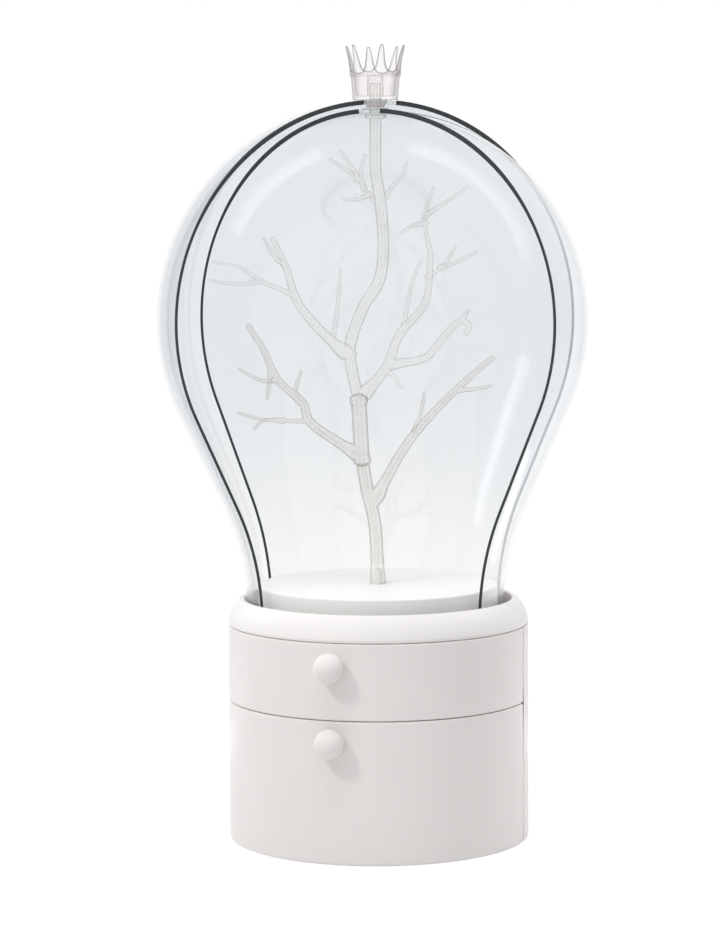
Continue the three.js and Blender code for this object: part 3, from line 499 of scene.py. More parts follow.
white_plastic = moulded_plastic("white_plastic", (0.815, 0.778, 0.766), 0.35)
# Painted light: a lighter copy of the white plastic for the collar, for part of the extra light on its
# upturned top
painted_light_white_plastic = moulded_plastic("painted_light_white_plastic", (0.848, 0.826, 0.811), 0.35)
tray_plastic = moulded_plastic("tray_plastic", (0.885, 0.875, 0.86), 0.35)
nylon = moulded_plastic("nylon", (0.80, 0.79, 0.76), 0.45)
outer_clear = clear_sheet(
    "outer_clear", (0.955, 0.957, 0.958, 1.0), (0.905, 0.915, 0.925, 1.0), 0.145, 0.235, 0.06)
inner_clear = clear_sheet(
    "inner_clear", (0.99, 0.99, 0.99, 1.0), (0.98, 0.985, 0.988, 1.0), 0.15, 0.24, 0.06)
# Each clear acrylic below has a painted rim shade colour and stops that paint refraction lines and bands
tree_acrylic = clear_solid(
    "tree_acrylic", (0.985, 0.985, 0.975, 1.0), (0.72, 0.71, 0.66, 1.0), (0.15, 0.145, 0.12, 1.0),
    [(0.0, 0.18), (0.045, 0.28), (0.16, 0.06), (0.4, 0.33), (1.0, 0.97)], 0.1,
    ((turntable_top + 10.5) * millimetre, -0.15))
branch_acrylic = clear_solid(
    "branch_acrylic", (0.987, 0.987, 0.98, 1.0), (0.84, 0.835, 0.80, 1.0), (0.13, 0.125, 0.105, 1.0),
    [(0.0, 0.12), (0.045, 0.2), (0.16, 0.05), (0.4, 0.22), (1.0, 0.95)], 0.1,
    (turntable_top * millimetre, 0.0))
crown_acrylic = clear_solid(
    "crown_acrylic", (0.992, 0.985, 0.986, 1.0), (0.84, 0.80, 0.80, 1.0), (0.11, 0.09, 0.095, 1.0),
    [(0.0, 0.04), (0.25, 0.05), (0.6, 0.4), (1.0, 0.95)], 0.1, (crown_foot * millimetre, 0.4))
seal_rubber = matt_rubber("seal_rubber", (0.03, 0.036, 0.037), 0.75)
pad_rubber = matt_rubber("pad_rubber", (0.27, 0.27, 0.26), 0.9)
steel = plated_steel("steel", (0.62, 0.625, 0.63), 0.36)


# Base

def pad():
    """Disc with a rounded rim and two shallow suction grooves underneath."""
    radius = high("non_slip_pad", 0)
    rim = rounded([(0, 0, 0), (radius, 0, 0.5), (radius, pad_top, 0.3), (0, pad_top, 0)])
    mouth, bed, depth = 1.5, 1.0, 0.5
    grooves = [
        [(middle - mouth, 0.0), (middle - bed, depth), (middle + bed, depth), (middle + mouth, 0.0)]
        for middle in (0.45 * radius, 0.85 * radius)
    ]
    return turned_solid(np.vstack([rim[:1], *grooves, rim[1:]]))


def casing():
    """Floor disc, and the rear half wall with its foot and the groove for the shelf."""
    floor = turned_solid(panel(0, pad_top, deck_radius, floor_top, (0, 0.3, 0.3, 0)))
    groove = casing_inner + 1.3
    wall = half_ring(rounded([
        (deck_root, pad_top + lap, 0),
        (deck_radius, pad_top + lap, 0),
        (deck_radius + 0.6, ground_gap, 0.3),
        (base_radius, ground_gap, 0.6),
        (base_radius, deck_bottom, 0.35),
        (casing_inner, deck_bottom, 0.2),
        (casing_inner, shelf_top + 0.3, 0),
        (groove, shelf_top + 0.3, 0),
        (groove, shelf_bottom - 0.3, 0),
        (casing_inner, shelf_bottom - 0.3, 0),
        (casing_inner, floor_top - lap, 0),
        (deck_root, floor_top - lap, 0),
    ]), seam_gap, 1.1)
    return [floor, wall]


def shelf():
    """Round shelf with a tongue that sits in the casing's groove."""
    plate = turned_solid(panel(0, shelf_bottom, deck_radius, shelf_top, (0, 0.4, 0.4, 0)))
    tongue = half_ring(panel(deck_root, shelf_bottom + lap, high("middle_shelf", 0), shelf_top - lap,
                             (0, 0.2, 0.2, 0)), 0.6, 0.2)
    return [plate, tongue]


def deck():
    """Deck with the bolt's hole, the rear flange, the locating lip and the covers' guide rib."""
    inside = deck_bottom + 1.5
    plate = turned(panel(bolt_hole, deck_bottom, deck_radius, deck_top, (0.2, 0.4, 0.4, 0.2)))
    flange = half_ring(panel(deck_root, deck_bottom + lap, base_radius, deck_top - lap,
                             (0, 0.3, 0.3, 0)), seam_gap, 0.3)
    lip = half_ring(panel(tray_radius - 0.9, low("top_deck", 2), tray_radius - hair, inside,
                          (0.2, 0.2, 0, 0)), seam_gap, 0.2)
    rib = turned(panel(rib_radius - 0.4, inside, rib_radius + 0.4, high("top_deck", 2),
                       (0, 0, 0.25, 0.25)))
    return [plate, flange, lip, rib]


def collar():
    """Collar whose outside runs up as a quadratic curve, (1-t)^2 a + 2t(1-t) b + t^2 c, from a soft
    foot to a narrow lip with both edges rounded."""
    lip_round = 0.9
    foot_round = 1.3
    t = np.linspace(0, 1, 28)[:, None]
    start = np.array([base_radius, deck_top + 1.4 * foot_round])
    shoulder = np.array([base_radius - 1.5, collar_top - 4.1])
    lip = np.array([collar_inner + collar_lip, collar_top])
    side = (1 - t) ** 2 * start + 2 * t * (1 - t) * shoulder + t ** 2 * lip
    angle = np.linspace(0, math.pi / 2, 6)[:, None]
    foot = np.hstack([base_radius - foot_round + foot_round * np.sin(angle),
                      deck_top + foot_round - foot_round * np.cos(angle)])
    inner = np.hstack([collar_inner + lip_round - lip_round * np.sin(angle),
                       collar_top - lip_round + lip_round * np.cos(angle)])
    bottom = [(collar_inner, deck_top), (base_radius - 1.4 * foot_round, deck_top)]
    end = [(collar_inner, collar_top - 2 * lip_round)]
    return [turned(np.vstack([bottom, foot, side, inner, end]), 200)]


def drawer_bowl(node):
    """Round tray of a drawer with a rounded rim and a hollow fillet inside."""
    bottom, rim = low(node, 2), high(node, 2)
    wall = 2.0
    return [turned_solid(rounded([
        (0, bottom, 0),
        (tray_radius, bottom, 1.2),
        (tray_radius, rim, 0.7),
        (tray_radius - wall, rim, 0.7),
        (tray_radius - wall, bottom + wall, 3.0),
        (0, bottom + wall, 0),
    ], steps=7))]


def drawer_face(node):
    """Half-round drawer front with softened edges all round; the lower one ends just off the ground, and
    the upper one close below the collar."""
    reach_down, reach_up, lower_reach_up = 0.22, 0.45, 0.2
    bottom, top = low(node, 2) - reach_down, high(node, 2) + reach_up
    if bottom < floor_top:
        bottom, top = ground_gap, high(node, 2) + lower_reach_up
    outline = panel(front_inner, bottom, base_radius, top, (0.5, 0.8, 0.9, 0.5))
    return [half_ring(outline, seam_gap, 1.2, side=-1, steps=120)]


def drawer_knob(node):
    """Ball that meets the curved drawer front: from its tip each meridian of the sphere runs back to
    the polar angle at which it touches the front, where cos(angle) = (centre depth - front depth) /
    radius, found by four rounds of substitution, and closes behind the front's surface."""
    ball = 7.8
    centre_y = low(node, 1) + ball
    centre_z = (low(node, 2) + high(node, 2)) / 2
    meridians = ring_angles(96)
    touch = np.full(meridians.shape, (-base_radius - centre_y) / ball)
    for _ in range(4):
        across = ball * np.sqrt(1 - touch ** 2) * np.cos(meridians)
        touch = (-np.sqrt(base_radius ** 2 - across ** 2) - centre_y) / ball
    share = np.linspace(0, 1, 44)[1:, None]
    polar = math.pi - share * (math.pi - np.arccos(touch))[None, :]
    reach = ball * np.sin(polar)
    depth = centre_y + ball * np.cos(polar)
    reach = np.vstack([reach, reach[-1] * 0.9])
    depth = np.vstack([depth, depth[-1] + 0.5])
    grid = np.stack([reach * np.cos(meridians), depth, centre_z + reach * np.sin(meridians)], axis=-1)
    return [skin(grid, poles=((0, low(node, 1), centre_z), None))]


def turning_tray():
    """Turning tray: flat top with a soft edge, hanging rim and the rib over the ball race, and the
    thin spigot over the bolt's end on which the trunk stands."""
    rim_inner = turntable_radius - 2.4
    rib_low = high("bearing_upper_race", 2)
    rib_inner = 35.0
    rib_outer = high("bearing_upper_race", 0) - 1.0
    bolt_end = high("turntable_bolt", 2)
    spigot_inner, spigot_outer = 2.15, 2.75
    spigot_foot = turntable_top - 0.8
    spigot = turned_solid(rounded([
        (0, bolt_end + lap, 0),
        (spigot_inner, bolt_end + lap, 0),
        (spigot_inner, spigot_foot, 0),
        (spigot_outer, spigot_foot, 0),
        (spigot_outer, bolt_end + 0.9, 2.2),
        (0, bolt_end + 0.9, 0),
    ]), 48)
    return [spigot, turned(rounded([
        (bolt_hole, turntable_under, 0.2),
        (rib_inner, turntable_under, 0),
        (rib_inner, rib_low, 0.3),
        (rib_outer, rib_low, 0.3),
        (rib_outer, turntable_under, 0.5),
        (rim_inner, turntable_under, 0.8),
        (rim_inner, turntable_foot, 0.5),
        (turntable_radius, turntable_foot, 0.5),
        (turntable_radius, turntable_top, 0.9),
        (bolt_hole, turntable_top, 0.2),
    ]))]


built("rubber_foot", [pad()], "base", pad_rubber, "pad_rubber", "non_slip_pad")
built("casing_shell", casing(), "base", white_plastic, "white_plastic", "base_casing")
built("shelf_plate", shelf(), "base", white_plastic, "white_plastic", "middle_shelf")
built("deck_plate", deck(), "base", white_plastic, "white_plastic", "top_deck")
# The collar takes the lighter copy of the white plastic, which paints in extra light
built("collar", collar(), "base", painted_light_white_plastic, "white_plastic", "collar_ring")
for drawer in ("lower_drawer", "upper_drawer"):
    tray, front, knob = (drawer + part for part in ("_tray", "_front", "_knob"))
    built(drawer + "_bowl", drawer_bowl(tray), drawer, tray_plastic, "tray_plastic", tray)
    built(drawer + "_face", drawer_face(front), drawer, white_plastic, "white_plastic", front)
    built(drawer + "_ball", drawer_knob(knob), drawer, white_plastic, "white_plastic", knob)
built("turning_tray", turning_tray(), "carousel", tray_plastic, "tray_plastic", "turntable")


# Covers

bead_width = 1.4


def cover_curve(neck, hollow, dome, end, steps=(18, 6, 54)):
    """One face of a cover from foot to top: straight neck, an arc of radius hollow about a centre
    outside the neck, a straight flare that touches both arcs, and the dome's arc down to radius end."""
    centre = neck + hollow
    rise = dome_centre - sweep_centre
    lean = math.atan2(rise, centre) - math.acos((dome + hollow) / math.hypot(centre, rise))
    a = lean * np.linspace(0, 1, steps[0] + 1)
    sweep = np.stack([centre - hollow * np.cos(a), sweep_centre + hollow * np.sin(a)], axis=-1)
    b = np.linspace(-lean, math.acos(end / dome), steps[2] + 1)
    crown = np.stack([dome * np.cos(b), dome_centre + dome * np.sin(b)], axis=-1)
    share = np.linspace(0, 1, steps[1] + 1)[1:-1, None]
    flare = sweep[-1] + share * (crown[0] - sweep[-1])
    return np.vstack([[(neck, cover_foot)], sweep, flare, crown])


def cover_outline(neck, hollow, dome, end):
    """Both faces of a cover, the inner one a wall's thickness in from the outer all along."""
    outside = cover_curve(neck, hollow, dome, end)
    inside = cover_curve(neck - cover_wall, hollow + cover_wall, dome - cover_wall, end)
    return outside, inside


def cover_half(neck, hollow, dome, flange, hole, turn):
    """Shell that reaches a little past its half, with rounded cut edges, and the ring of its hub."""
    outside, inside = cover_outline(neck, hollow, dome, flange)
    top, under = outside[-1, 1], inside[-1, 1]
    cut = bead_width + hair - cover_overlap
    shell = half_ring(np.vstack([outside, inside[::-1]]), cut, 0.25, steps=112)
    hub = turned(panel(hole, under, flange - hair, top, (0.3, 0, 0, 0.4)), 96)
    return [spun(shell, turn), spun(hub, turn)]


def edging(neck, hollow, dome, flange, turn, side):
    """Rubber edging along one straight edge of a cover: an oval bead carried along the middle line of
    the wall in the plane of the edge. It stands proud of the wall at the top of the dome and thins
    down its sides by a smooth step of height, 3 s^2 - 2 s^3."""
    near = cover_overlap - bead_width
    end = math.sqrt((flange + 0.3) ** 2 - near ** 2 + cover_overlap ** 2)
    outside, inside = cover_outline(neck, hollow, dome, end)
    middle = (outside + inside) / 2
    along = np.gradient(middle, axis=0)
    along /= np.linalg.norm(along, axis=1, keepdims=True)
    across = np.stack([along[:, 1], -along[:, 0]], axis=-1)
    proud_from, proud_over = 40.0, 60.0
    s = np.clip((middle[:, 1] - dome_centre - proud_from) / proud_over, 0, 1)
    rise = (3 * s ** 2 - 2 * s ** 3)[:, None]
    half_thick = 0.72 + 0.48 * rise
    half_width = bead_width * (0.36 + 0.14 * rise)
    angle = ring_angles(20)
    power = 0.6
    bead_across = half_thick * np.sign(np.cos(angle)) * np.abs(np.cos(angle)) ** power
    bead_depth = half_width * np.sign(np.sin(angle)) * np.abs(np.sin(angle)) ** power
    radius = middle[:, None, 0] + across[:, None, 0] * bead_across
    height = middle[:, None, 1] + across[:, None, 1] * bead_across
    y = bead_width - half_width + bead_depth - cover_overlap
    x = side * np.sqrt(radius ** 2 - y ** 2)
    return [spun(skin(np.stack([x, y, height], axis=-1)), turn)]


cover_sizes = {
    "outer": (outer_neck, outer_sweep, dome_radius, 10.0, 6.6, outer_turn, outer_clear),
    "inner": (inner_neck, inner_sweep, inner_dome, 7.6, 3.4, inner_turn, inner_clear),
}
for which, (neck, hollow, dome, flange, hole, turn, clear) in cover_sizes.items():
    body = which + "_half"
    built(which + "_dome_half", cover_half(neck, hollow, dome, flange, hole, turn), body, clear,
          "clear_plastic", which + "_cover")
    for side, hand in ((1, "right"), (-1, "left")):
        built(f"{which}_{hand}_edging", edging(neck, hollow, dome, flange, turn, side), body,
              seal_rubber, "seal_rubber", f"{which}_cover_{hand}_seal")


# Tree

tree_height = stem_shoulder_top - turntable_top
tree_radius = 90.0
trunk_radius = 3.5
middle_radius = 4.1
sleeve_radius = 4.7
sleeve_half_length = 2.5
stem_radius = 3.1
branch_radius = 3.0
branch_tip = 1.5
twig_radius = 1.3
twig_tip = 0.8

trunk_foot_shares = (0, 0, 0)
lower_node_shares = (-0.091, 0, 0.268)
upper_node_shares = (-0.108, 0, 0.394)
above_node_shares = (-0.125, 0, 0.52)
lower_trunk_shares = [trunk_foot_shares, (-0.018, 0, 0.13), (-0.06, 0, 0.2), lower_node_shares]
stem_shares = [
    upper_node_shares,
    (-0.15, 0, 0.467),
    (-0.159, 0, 0.507),
    (-0.079, 0, 0.592),
    (0.017, 0, 0.651),
    (0.042, 0, 0.717),
    (0.028, 0, 0.81),
    (0, 0, 0.883),
    (0, 0, 0.966),
    (0, 0, 0.995),
]
left_lower_shares = [
    (-0.091, 0, 0.272),
    (-0.4, -0.08, 0.354),
    (-0.433, -0.1, 0.39),
    (-0.578, -0.14, 0.442),
    (-0.667, -0.16, 0.511),
    (-0.744, -0.18, 0.556),
]
left_lower_twig_shares = [
    [(-0.46, -0.105, 0.395), (-0.478, -0.13, 0.414), (-0.444, -0.15, 0.461)],
    [(-0.4, -0.08, 0.352), (-0.667, -0.12, 0.358), (-0.811, -0.14, 0.372)],
    [(-0.55, -0.105, 0.355), (-0.672, -0.09, 0.354), (-0.722, -0.08, 0.337)],
    [(-0.578, -0.14, 0.442), (-0.667, -0.2, 0.442), (-0.8, -0.22, 0.467)],
    [(-0.62, -0.15, 0.46), (-0.644, -0.1, 0.402)],
]
left_upper_shares = [
    (-0.157, 0, 0.495),
    (-0.196, 0.03, 0.499),
    (-0.456, 0.12, 0.596),
    (-0.539, 0.16, 0.681),
    (-0.611, 0.18, 0.737),
]
left_upper_twig_shares = [
    [(-0.5, 0.14, 0.62), (-0.689, 0.2, 0.648), (-0.811, 0.22, 0.677), (-0.967, 0.24, 0.689)],
    [(-0.689, 0.2, 0.648), (-0.82, 0.25, 0.641), (-0.989, 0.26, 0.648)],
    [(-0.26, 0.05, 0.525), (-0.233, 0.02, 0.58), (-0.211, -0.02, 0.673)],
    [(-0.539, 0.16, 0.681), (-0.6, 0.1, 0.7), (-0.66, 0.06, 0.74)],
]
right_lower_shares = [
    (-0.022, 0, 0.176),
    (0.172, -0.08, 0.301),
    (0.356, -0.16, 0.382),
    (0.611, -0.24, 0.471),
    (0.667, -0.26, 0.487),
]
right_lower_twig_shares = [
    [(0.47, -0.195, 0.42), (0.544, -0.24, 0.422), (0.656, -0.3, 0.43)],
    [(0.172, -0.08, 0.301), (0.25, -0.04, 0.36), (0.28, 0, 0.41)],
]
right_middle_shares = [
    (-0.1, 0, 0.398),
    (0.05, 0.05, 0.46),
    (0.122, 0.08, 0.523),
    (0.156, 0.1, 0.543),
    (0.289, 0.14, 0.6),
    (0.322, 0.16, 0.701),
]
right_middle_twig_shares = [
    [(0.322, 0.16, 0.701), (0.289, 0.18, 0.782), (0.339, 0.2, 0.846)],
    [(0.295, 0.175, 0.77), (0.22, 0.14, 0.765), (0.144, 0.1, 0.749)],
    [(0.29, 0.18, 0.785), (0.36, 0.22, 0.802), (0.544, 0.26, 0.846)],
    [(0.156, 0.1, 0.543), (0.211, 0.04, 0.644), (0.26, 0, 0.69)],
    [(0.305, 0.15, 0.655), (0.4, 0.1, 0.681), (0.467, 0.06, 0.721)],
    [(0.38, 0.11, 0.675), (0.467, 0.14, 0.685), (0.6, 0.18, 0.709)],
    [(0.05, 0.05, 0.46), (0.1, 0.02, 0.445), (0.149, 0, 0.42)],
]
right_hook_shares = [
    (0.06, 0.052, 0.468),
    (0.287, -0.06, 0.486),
    (0.333, -0.09, 0.503),
    (0.49, -0.14, 0.565),
    (0.54, -0.16, 0.554),
    (0.522, -0.17, 0.539),
]
right_hook_twig_shares = [[(0.49, -0.14, 0.565), (0.511, -0.15, 0.576), (0.539, -0.19, 0.588)]]
top_left_twig_shares = [
    [(0.028, 0, 0.8), (-0.071, -0.03, 0.846), (-0.103, -0.05, 0.863)],
    [(-0.103, -0.05, 0.863), (-0.167, -0.07, 0.883), (-0.267, -0.09, 0.907)],
    [(-0.103, -0.05, 0.863), (-0.128, -0.02, 0.883), (-0.204, 0, 0.923)],
    [(-0.071, -0.03, 0.846), (-0.089, -0.06, 0.875), (-0.062, -0.08, 0.915)],
    [(-0.04, -0.02, 0.832), (-0.111, 0.03, 0.822), (-0.194, 0.05, 0.822)],
]
top_right_twig_shares = [
    [(0.028, 0, 0.81), (0.1, 0.05, 0.85), (0.156, 0.08, 0.871), (0.178, 0.09, 0.899)],
]


def tree_points(shares):
    """Places in the box: across and away scale with the tree's radius, up with its height."""
    shares = np.asarray(shares, float)
    return shares * (tree_radius, tree_radius, tree_height) + (0, 0, turntable_top)


def smooth_path(points, steps):
    """Places and directions along a centripetal Catmull-Rom curve: a cubic between each two points,
    whose end slopes follow the neighbours, each span weighted by the root of its length."""
    ends = [2 * points[0] - points[1], *points, 2 * points[-1] - points[-2]]
    p = np.array(ends)
    gap = np.sqrt(np.linalg.norm(np.diff(p, axis=0), axis=1))[:, None]
    before, here, after = gap[:-2], gap[1:-1], gap[2:]
    p0, p1, p2, p3 = p[:-3], p[1:-2], p[2:-1], p[3:]
    leave = ((p1 - p0) / before - (p2 - p0) / (before + here) + (p2 - p1) / here) * here
    arrive = ((p2 - p1) / here - (p3 - p1) / (here + after) + (p3 - p2) / after) * here
    t = (np.arange(steps) / steps)[None, :, None]
    a, b, c, d = (x[:, None, :] for x in (p1, leave, 3 * (p2 - p1) - 2 * leave - arrive,
                                          2 * (p1 - p2) + leave + arrive))
    place = (a + b * t + c * t ** 2 + d * t ** 3).reshape(-1, 3)
    way = (b + 2 * c * t + 3 * d * t ** 2).reshape(-1, 3)
    place = np.vstack([place, points[-1]])
    way = np.vstack([way, arrive[-1]])
    return place, way / np.linalg.norm(way, axis=1, keepdims=True)


def limb(shares, first, last, sides=28, steps=9, flare=0.0, flare_length=4.0, flare_from=0.0,
         flat_root=False):
    """Round limb along a smooth path: its radius runs from first to last and widens near the root by
    flare exp(-((distance - flare_from) / flare_length)^2). Its tip is half a ball, and so is its root
    unless that stands flat."""
    place, way = smooth_path(tree_points(shares), steps)
    gone = np.concatenate([[0], np.cumsum(np.linalg.norm(np.diff(place, axis=0), axis=1))])
    radius = first + (last - first) * gone / gone[-1]
    radius += flare * np.exp(-((gone - flare_from) / flare_length) ** 2)
    t = np.linspace(0, math.pi / 2, 8)[1:-1, None]
    tip = place[-1] + way[-1] * radius[-1]
    root = None if flat_root else place[0] - way[0] * radius[0]
    place = np.vstack([place, place[-1] + way[-1] * radius[-1] * np.sin(t)])
    way = np.vstack([way, np.repeat(way[-1:], len(t), axis=0)])
    radius = np.concatenate([radius, radius[-1] * np.cos(t[:, 0])])
    if not flat_root:
        t = t[::-1]
        place = np.vstack([place[0] - way[0] * radius[0] * np.sin(t), place])
        way = np.vstack([np.repeat(way[:1], len(t), axis=0), way])
        radius = np.concatenate([radius[0] * np.cos(t[:, 0]), radius])
    side = np.array([0.0, 1.0, 0.0]) - way * way[:, 1:2]
    side /= np.linalg.norm(side, axis=1, keepdims=True)
    other = np.cross(way, side)
    angle = ring_angles(sides)[None, :, None]
    circle = side[:, None] * np.cos(angle) + other[:, None] * np.sin(angle)
    return skin(place[:, None] + radius[:, None, None] * circle, poles=(root, tip))


def twig(shares):
    """Thin limb that widens a little where it leaves its branch."""
    return limb(shares, twig_radius, twig_tip, sides=16, steps=7, flare=0.5, flare_length=3.0)


def branch(shares, twig_shares, root=branch_radius, flare=1.3):
    """A branch with its twigs, which grow out of it, widest where it leaves the trunk."""
    main = limb(shares, root, branch_tip, flare=flare, flare_length=4.5, flare_from=4.5)
    return [main, *map(twig, twig_shares)]


def sleeve(shares, toward_shares, swell):
    """Short thick stretch with rounded edges round the trunk at a node, in line with the next node."""
    centre, toward = tree_points([shares, toward_shares])
    way = (toward - centre) / np.linalg.norm(toward - centre)
    radius, half = sleeve_radius + swell, sleeve_half_length + swell
    outline = panel(0, -half, radius, half, (0, 0.9, 0.9, 0))[1:-1]
    side = np.cross((0.0, 1.0, 0.0), way)
    side /= np.linalg.norm(side)
    other = np.cross(way, side)
    angle = ring_angles(48)[None, :, None]
    reach, rise = outline[:, None, 0, None], outline[:, None, 1, None]
    grid = centre + reach * (side * np.cos(angle) + other * np.sin(angle)) + rise * way
    return skin(grid, poles=(centre - half * way, centre + half * way))


def middle_core(swell=0.0):
    """Thick middle of the trunk with a sleeve at each node. Swollen a little, it is what the sections
    below and above are hollowed by, so that they fit over its round ends."""
    radius = middle_radius + swell
    return [
        limb([lower_node_shares, upper_node_shares], radius, radius, steps=14),
        sleeve(lower_node_shares, upper_node_shares, swell),
        sleeve(upper_node_shares, above_node_shares, swell),
    ]


def pin():
    """Shoulder that carries the lower washer, and the pin through the hubs into the crown."""
    return [turned_solid(rounded([
        (0, stem_shoulder_top - 2.0, 0),
        (5.6, stem_shoulder_top - 2.0, 0.5),
        (5.6, stem_shoulder_top, 0.3),
        (3.0, stem_shoulder_top, 0),
        (3.0, pin_top, 0.5),
        (0, pin_top, 0),
    ]), 64)]


trunk = limb(lower_trunk_shares, trunk_radius, trunk_radius, steps=16, flare=0.8, flare_length=7.0,
             flat_root=True)
stem = limb(stem_shares, stem_radius, stem_radius, steps=12)
lower_section = [trunk, *branch(right_lower_shares, right_lower_twig_shares)]
middle_section = [*middle_core(), *branch(left_lower_shares, left_lower_twig_shares)]
upper_section = [
    stem,
    *pin(),
    *branch(left_upper_shares, left_upper_twig_shares),
    *branch(right_middle_shares, right_middle_twig_shares),
    *branch(right_hook_shares, right_hook_twig_shares, 2 * twig_radius, 0.4),
    *map(twig, top_left_twig_shares),
    *map(twig, top_right_twig_shares),
]
socket = middle_core(0.05)
tree_sections = {
    "tree_lower_section": (lower_section, socket, tree_acrylic, ["lower_trunk", "right_lower_branch"]),
    "tree_middle_section": (middle_section, [], tree_acrylic, ["middle_trunk", "left_lower_branch"]),
    "tree_upper_section": (upper_section, socket, branch_acrylic, [
        "winding_stem", "left_upper_branch", "right_middle_branch", "right_hook_branch",
        "top_left_twigs", "top_right_twig"]),
}
for name, (shells, cut, finish, nodes) in tree_sections.items():
    shells, cut = ([spun(shell, tree_turn) for shell in group] for group in (shells, cut))
    piece(name, fused(name, shells, cut), "carousel", finish, "tree_acrylic", *nodes)


# Crown

def crown_lean(height, root, lean):
    """Radius of the spikes' wall: root + lean (0.35 s + 0.65 s^2), where s is the share of the way up
    from the ledge to the tips."""
    share = np.clip((height - crown_ledge) / (crown_tip - crown_ledge), 0, 1)
    return root + lean * (0.35 * share + 0.65 * share ** 2)


def crown_spikes():
    """Ring of spikes: between two middles the top edge falls from the tip by 1 / (1 + (u / width)^3),
    where u is the share of the way from a spike's middle to the valley. The wall leans out as
    crown_lean says. Both its faces are bevelled along the top edge to a fifth of its thickness, in a
    straight line of the distance to that edge, which is the height below it over sqrt(1 + slope^2)."""
    spikes, spike_columns, width = 6, 48, 0.28
    root = 13.5
    foot = crown_ledge - 1.5
    valley = crown_ledge + 0.6
    lean = high("crown", 0) - 0.1 - root
    columns = np.arange(spikes * spike_columns)
    angle = ring_angles(len(columns)) - math.pi / 2 + spike_turn
    u = np.abs((columns / spike_columns + 0.5) % 1 - 0.5) * 2
    slope = 1 / (1 + (u / width) ** 3)
    floor = 1 / (1 + (1 / width) ** 3)
    top = valley + (crown_tip - valley) * (slope - floor) / (1 - floor)
    wall = 1.5
    bevel = 0.9
    spacing = 2 * math.pi * root / len(columns)
    steepness = np.hypot(1, (np.roll(top, -1) - np.roll(top, 1)) / (2 * spacing))[:, None]
    below = (top[:, None] - foot) * (1 - np.linspace(0, 1, 24)[None, :]) ** 2
    share = np.clip(below / steepness / bevel, 0, 1)
    half = wall / 2 * (0.2 + 0.8 * share)
    side = top[:, None] - below
    middle = crown_lean(side, root, lean) - wall / 2
    outer = np.stack([middle + half, side], axis=-1)
    inner = np.stack([middle - half, side], axis=-1)[:, ::-1]
    section = np.concatenate([outer, inner], axis=1)
    radius, height = section[..., 0], section[..., 1]
    spin = angle[:, None]
    # Share of the bevel, which the finish turns into painted shade along the spikes' top edge
    edge_share = np.concatenate([1 - share ** 2, (1 - share ** 2)[:, ::-1]], axis=1)
    shell = skin(np.stack([radius * np.cos(spin), radius * np.sin(spin), height], axis=-1), wrap=True)
    return shell, edge_share.ravel()


def crown_band():
    """Tapered neck, floor and round wall up to the ledge below the spikes."""
    floor_top_height = crown_foot + 2.0
    wall = 1.5
    return turned(rounded([
        (3.3, crown_neck_foot, 0),
        (4.6, crown_neck_foot, 0.4),
        (6.2, crown_foot - 0.5, 0.3),
        (6.2, crown_foot, 0.2),
        (11.9, crown_foot, 0.7),
        (13.0, crown_ledge, 0.3),
        (13.0 - wall, crown_ledge, 0.3),
        (11.9 - wall, floor_top_height, 0.5),
        (3.3, floor_top_height, 0),
    ]), 96)


def crown_boss():
    """Round socket over the pin, slightly tapered, with a soft top edge."""
    foot = crown_foot + 1.0
    top = crown_foot + 2.0 + 11.0
    return turned_solid(rounded([(0, foot, 0), (4.3, foot, 0), (4.2, top, 0.6), (0, top, 0)]), 64)


def washer(node):
    """Flat ring with soft edges in the space of its CAD node."""
    hole = 3.4
    return turned(panel(hole, low(node, 2), high(node, 0), high(node, 2), (0.15, 0.2, 0.2, 0.15)), 64)


piece("crown_cap", fused("crown_cap", [crown_band(), crown_boss()]), "carousel",
      crown_acrylic, "crown_acrylic", "crown")
points_shell, points_edge_share = crown_spikes()
points_mesh = mesh_of("crown_points", [points_shell])
# edge_share carries the painted shade along the bevels into the finish
points_mesh.attributes.new("edge_share", "FLOAT", "POINT").data.foreach_set("value", points_edge_share)
piece("crown_points", points_mesh, "carousel", crown_acrylic, "crown_acrylic", "crown")
for node in ("hub_lower_washer", "hub_upper_washer"):
    built(node.replace("hub", "nylon"), [washer(node)], "carousel", nylon, "nylon", node)

for node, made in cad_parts.items():
    if made.hide_render:
        continue
    made.data.materials.clear()
    made.data.materials.append(nylon if node in ("bearing_cage", "turntable_washer") else steel)


# Camera

view_azimuth = math.radians(17.3)
view_distance = 1.56
view_height = 0.344
view_pitch = math.radians(5.29)
view_yaw = math.radians(0.34)
view_roll = math.radians(0.35)

lens = bpy.data.cameras.new("camera")
lens.lens = 114.3
lens.sensor_width = 36.0
lens.clip_start = 0.05
lens.clip_end = 50.0
camera = bpy.data.objects.new("camera", lens)
bpy.context.scene.collection.objects.link(camera)
bpy.context.scene.camera = camera
camera.location = (view_distance * math.sin(view_azimuth), -view_distance * math.cos(view_azimuth),
                   view_height)
heading = view_azimuth + view_yaw
ahead = Vector((-math.sin(heading) * math.cos(view_pitch), math.cos(heading) * math.cos(view_pitch),
                -math.sin(view_pitch)))
camera.rotation_mode = "QUATERNION"
camera.rotation_quaternion = ahead.to_track_quat("-Z", "Y") @ Quaternion((0, 0, 1), -view_roll)


# Floor and light

def seen_white(tree):
    """1 for rays from the camera, off a gloss or through clear plastic, 0 for the rest."""
    path = add(tree, "ShaderNodeLightPath").outputs
    either = worked(tree, "MAXIMUM", path["Is Camera Ray"], path["Is Glossy Ray"])
    return worked(tree, "MAXIMUM", either, path["Is Transmission Ray"])


def floor_finish():
    """Pale matt floor that looks white and still keeps a faint shadow."""
    glow_share = 0.82
    material, tree = new_material("pale_floor")
    matt = add(tree, "ShaderNodeBsdfDiffuse", {"Color": (0.72, 0.72, 0.72, 1.0)})
    glow = add(tree, "ShaderNodeEmission", {"Color": (1.0, 1.0, 1.0, 1.0), "Strength": 1.13})
    share = worked(tree, "MULTIPLY", seen_white(tree), glow_share)
    shown(tree, mixed(tree, share, matt, glow))
    return material


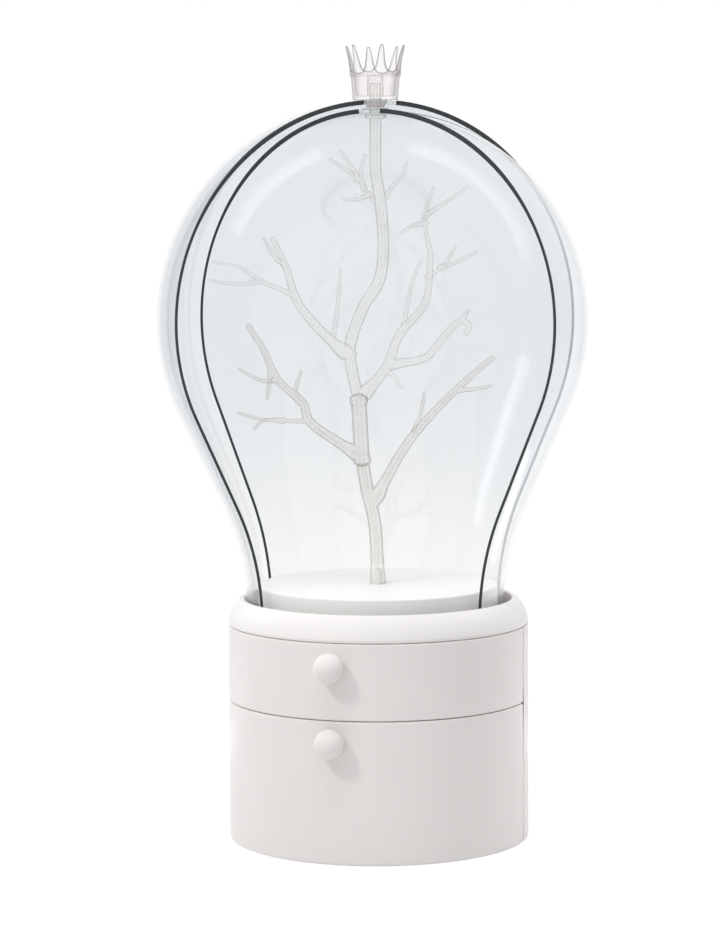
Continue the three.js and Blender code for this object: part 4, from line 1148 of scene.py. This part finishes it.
floor_radius = 6
floor_sides = 96
floor_mesh = bpy.data.meshes.new("floor")
floor_angle = ring_angles(floor_sides)
floor_rim = np.stack([floor_radius * np.cos(floor_angle), floor_radius * np.sin(floor_angle),
                      0 * floor_angle], axis=-1)
floor_mesh.from_pydata(floor_rim.tolist(), [], [list(range(floor_sides))])
floor_mesh.materials.append(floor_finish())
floor = bpy.data.objects.new("floor", floor_mesh)
bpy.context.scene.collection.objects.link(floor)


lamp_distance = 1.5
aim_height = 0.25
low_strip_glow = 4.6
low_strip_behind = 0.22
low_strip_height = 0.006


def soft_lamp(name, azimuth, elevation, size, power, glossy=False, lean=0.0):
    """Area lamp round the object, aimed at its middle, with its long side upright or leaning."""
    light = bpy.data.lights.new(name, "AREA")
    light.shape = "RECTANGLE"
    light.size, light.size_y = size
    light.energy = power
    lamp = bpy.data.objects.new(name, light)
    a, e = math.radians(azimuth), math.radians(elevation)
    back = Vector((math.sin(a) * math.cos(e), -math.cos(a) * math.cos(e), math.sin(e)))
    lamp.location = Vector((0, 0, aim_height)) + back * lamp_distance
    lamp.rotation_mode = "QUATERNION"
    lamp.rotation_quaternion = (-back).to_track_quat("-Z", "Y") @ Quaternion((0, 0, 1), math.radians(lean))
    lamp.visible_camera = False
    lamp.visible_glossy = glossy
    bpy.context.scene.collection.objects.link(lamp)
    return lamp


def low_strip(name, along, length):
    """Narrow strip that lies behind the object and shines up, seen only in the dome's gloss."""
    width = 0.05
    lamp = soft_lamp(name, 0, 90, (length, width), low_strip_glow * length * width, glossy=True)
    across = Vector((math.cos(view_azimuth), math.sin(view_azimuth), 0))
    behind = Vector((-math.sin(view_azimuth), math.cos(view_azimuth), 0))
    lamp.location = along * across + low_strip_behind * behind + Vector((0, 0, low_strip_height))
    lamp.rotation_quaternion = Quaternion((0, 0, 1), view_azimuth) @ Quaternion((1, 0, 0), math.pi)
    lamp.visible_diffuse = False


soft_lamp("key_lamp", -32, 38, (0.2, 0.2), 6.2)
soft_lamp("top_lamp", 10, 78, (1.0, 1.0), 10.8)
soft_lamp("left_rim_lamp", -113, 15, (0.6, 0.6), 4.2)
soft_lamp("right_rim_lamp", 135, 15, (0.6, 0.6), 5.2)
left_strip = soft_lamp("left_strip", -84, 25, (0.16, 0.6), 0.5, glossy=True, lean=17)
left_strip.visible_diffuse = False
low_strip("left_low_strip", -0.35, 0.6)
low_strip("right_low_strip", 0.25, 0.33)

world = bpy.data.worlds.new("studio")
bpy.context.scene.world = world
world.use_nodes = True
sky = world.node_tree
sky.nodes.clear()
ambient = add(sky, "ShaderNodeBackground", {"Color": (0.99, 0.995, 1.0, 1.0), "Strength": 0.6})
white = add(sky, "ShaderNodeBackground", {"Color": (1.0, 1.0, 1.0, 1.0), "Strength": 1.0})
shown(sky, mixed(sky, seen_white(sky), ambient, white), "ShaderNodeOutputWorld")

clear_faces_in_line = 48
scene = bpy.context.scene
scene.view_settings.view_transform = "Standard"
scene.cycles.transparent_max_bounces = clear_faces_in_line
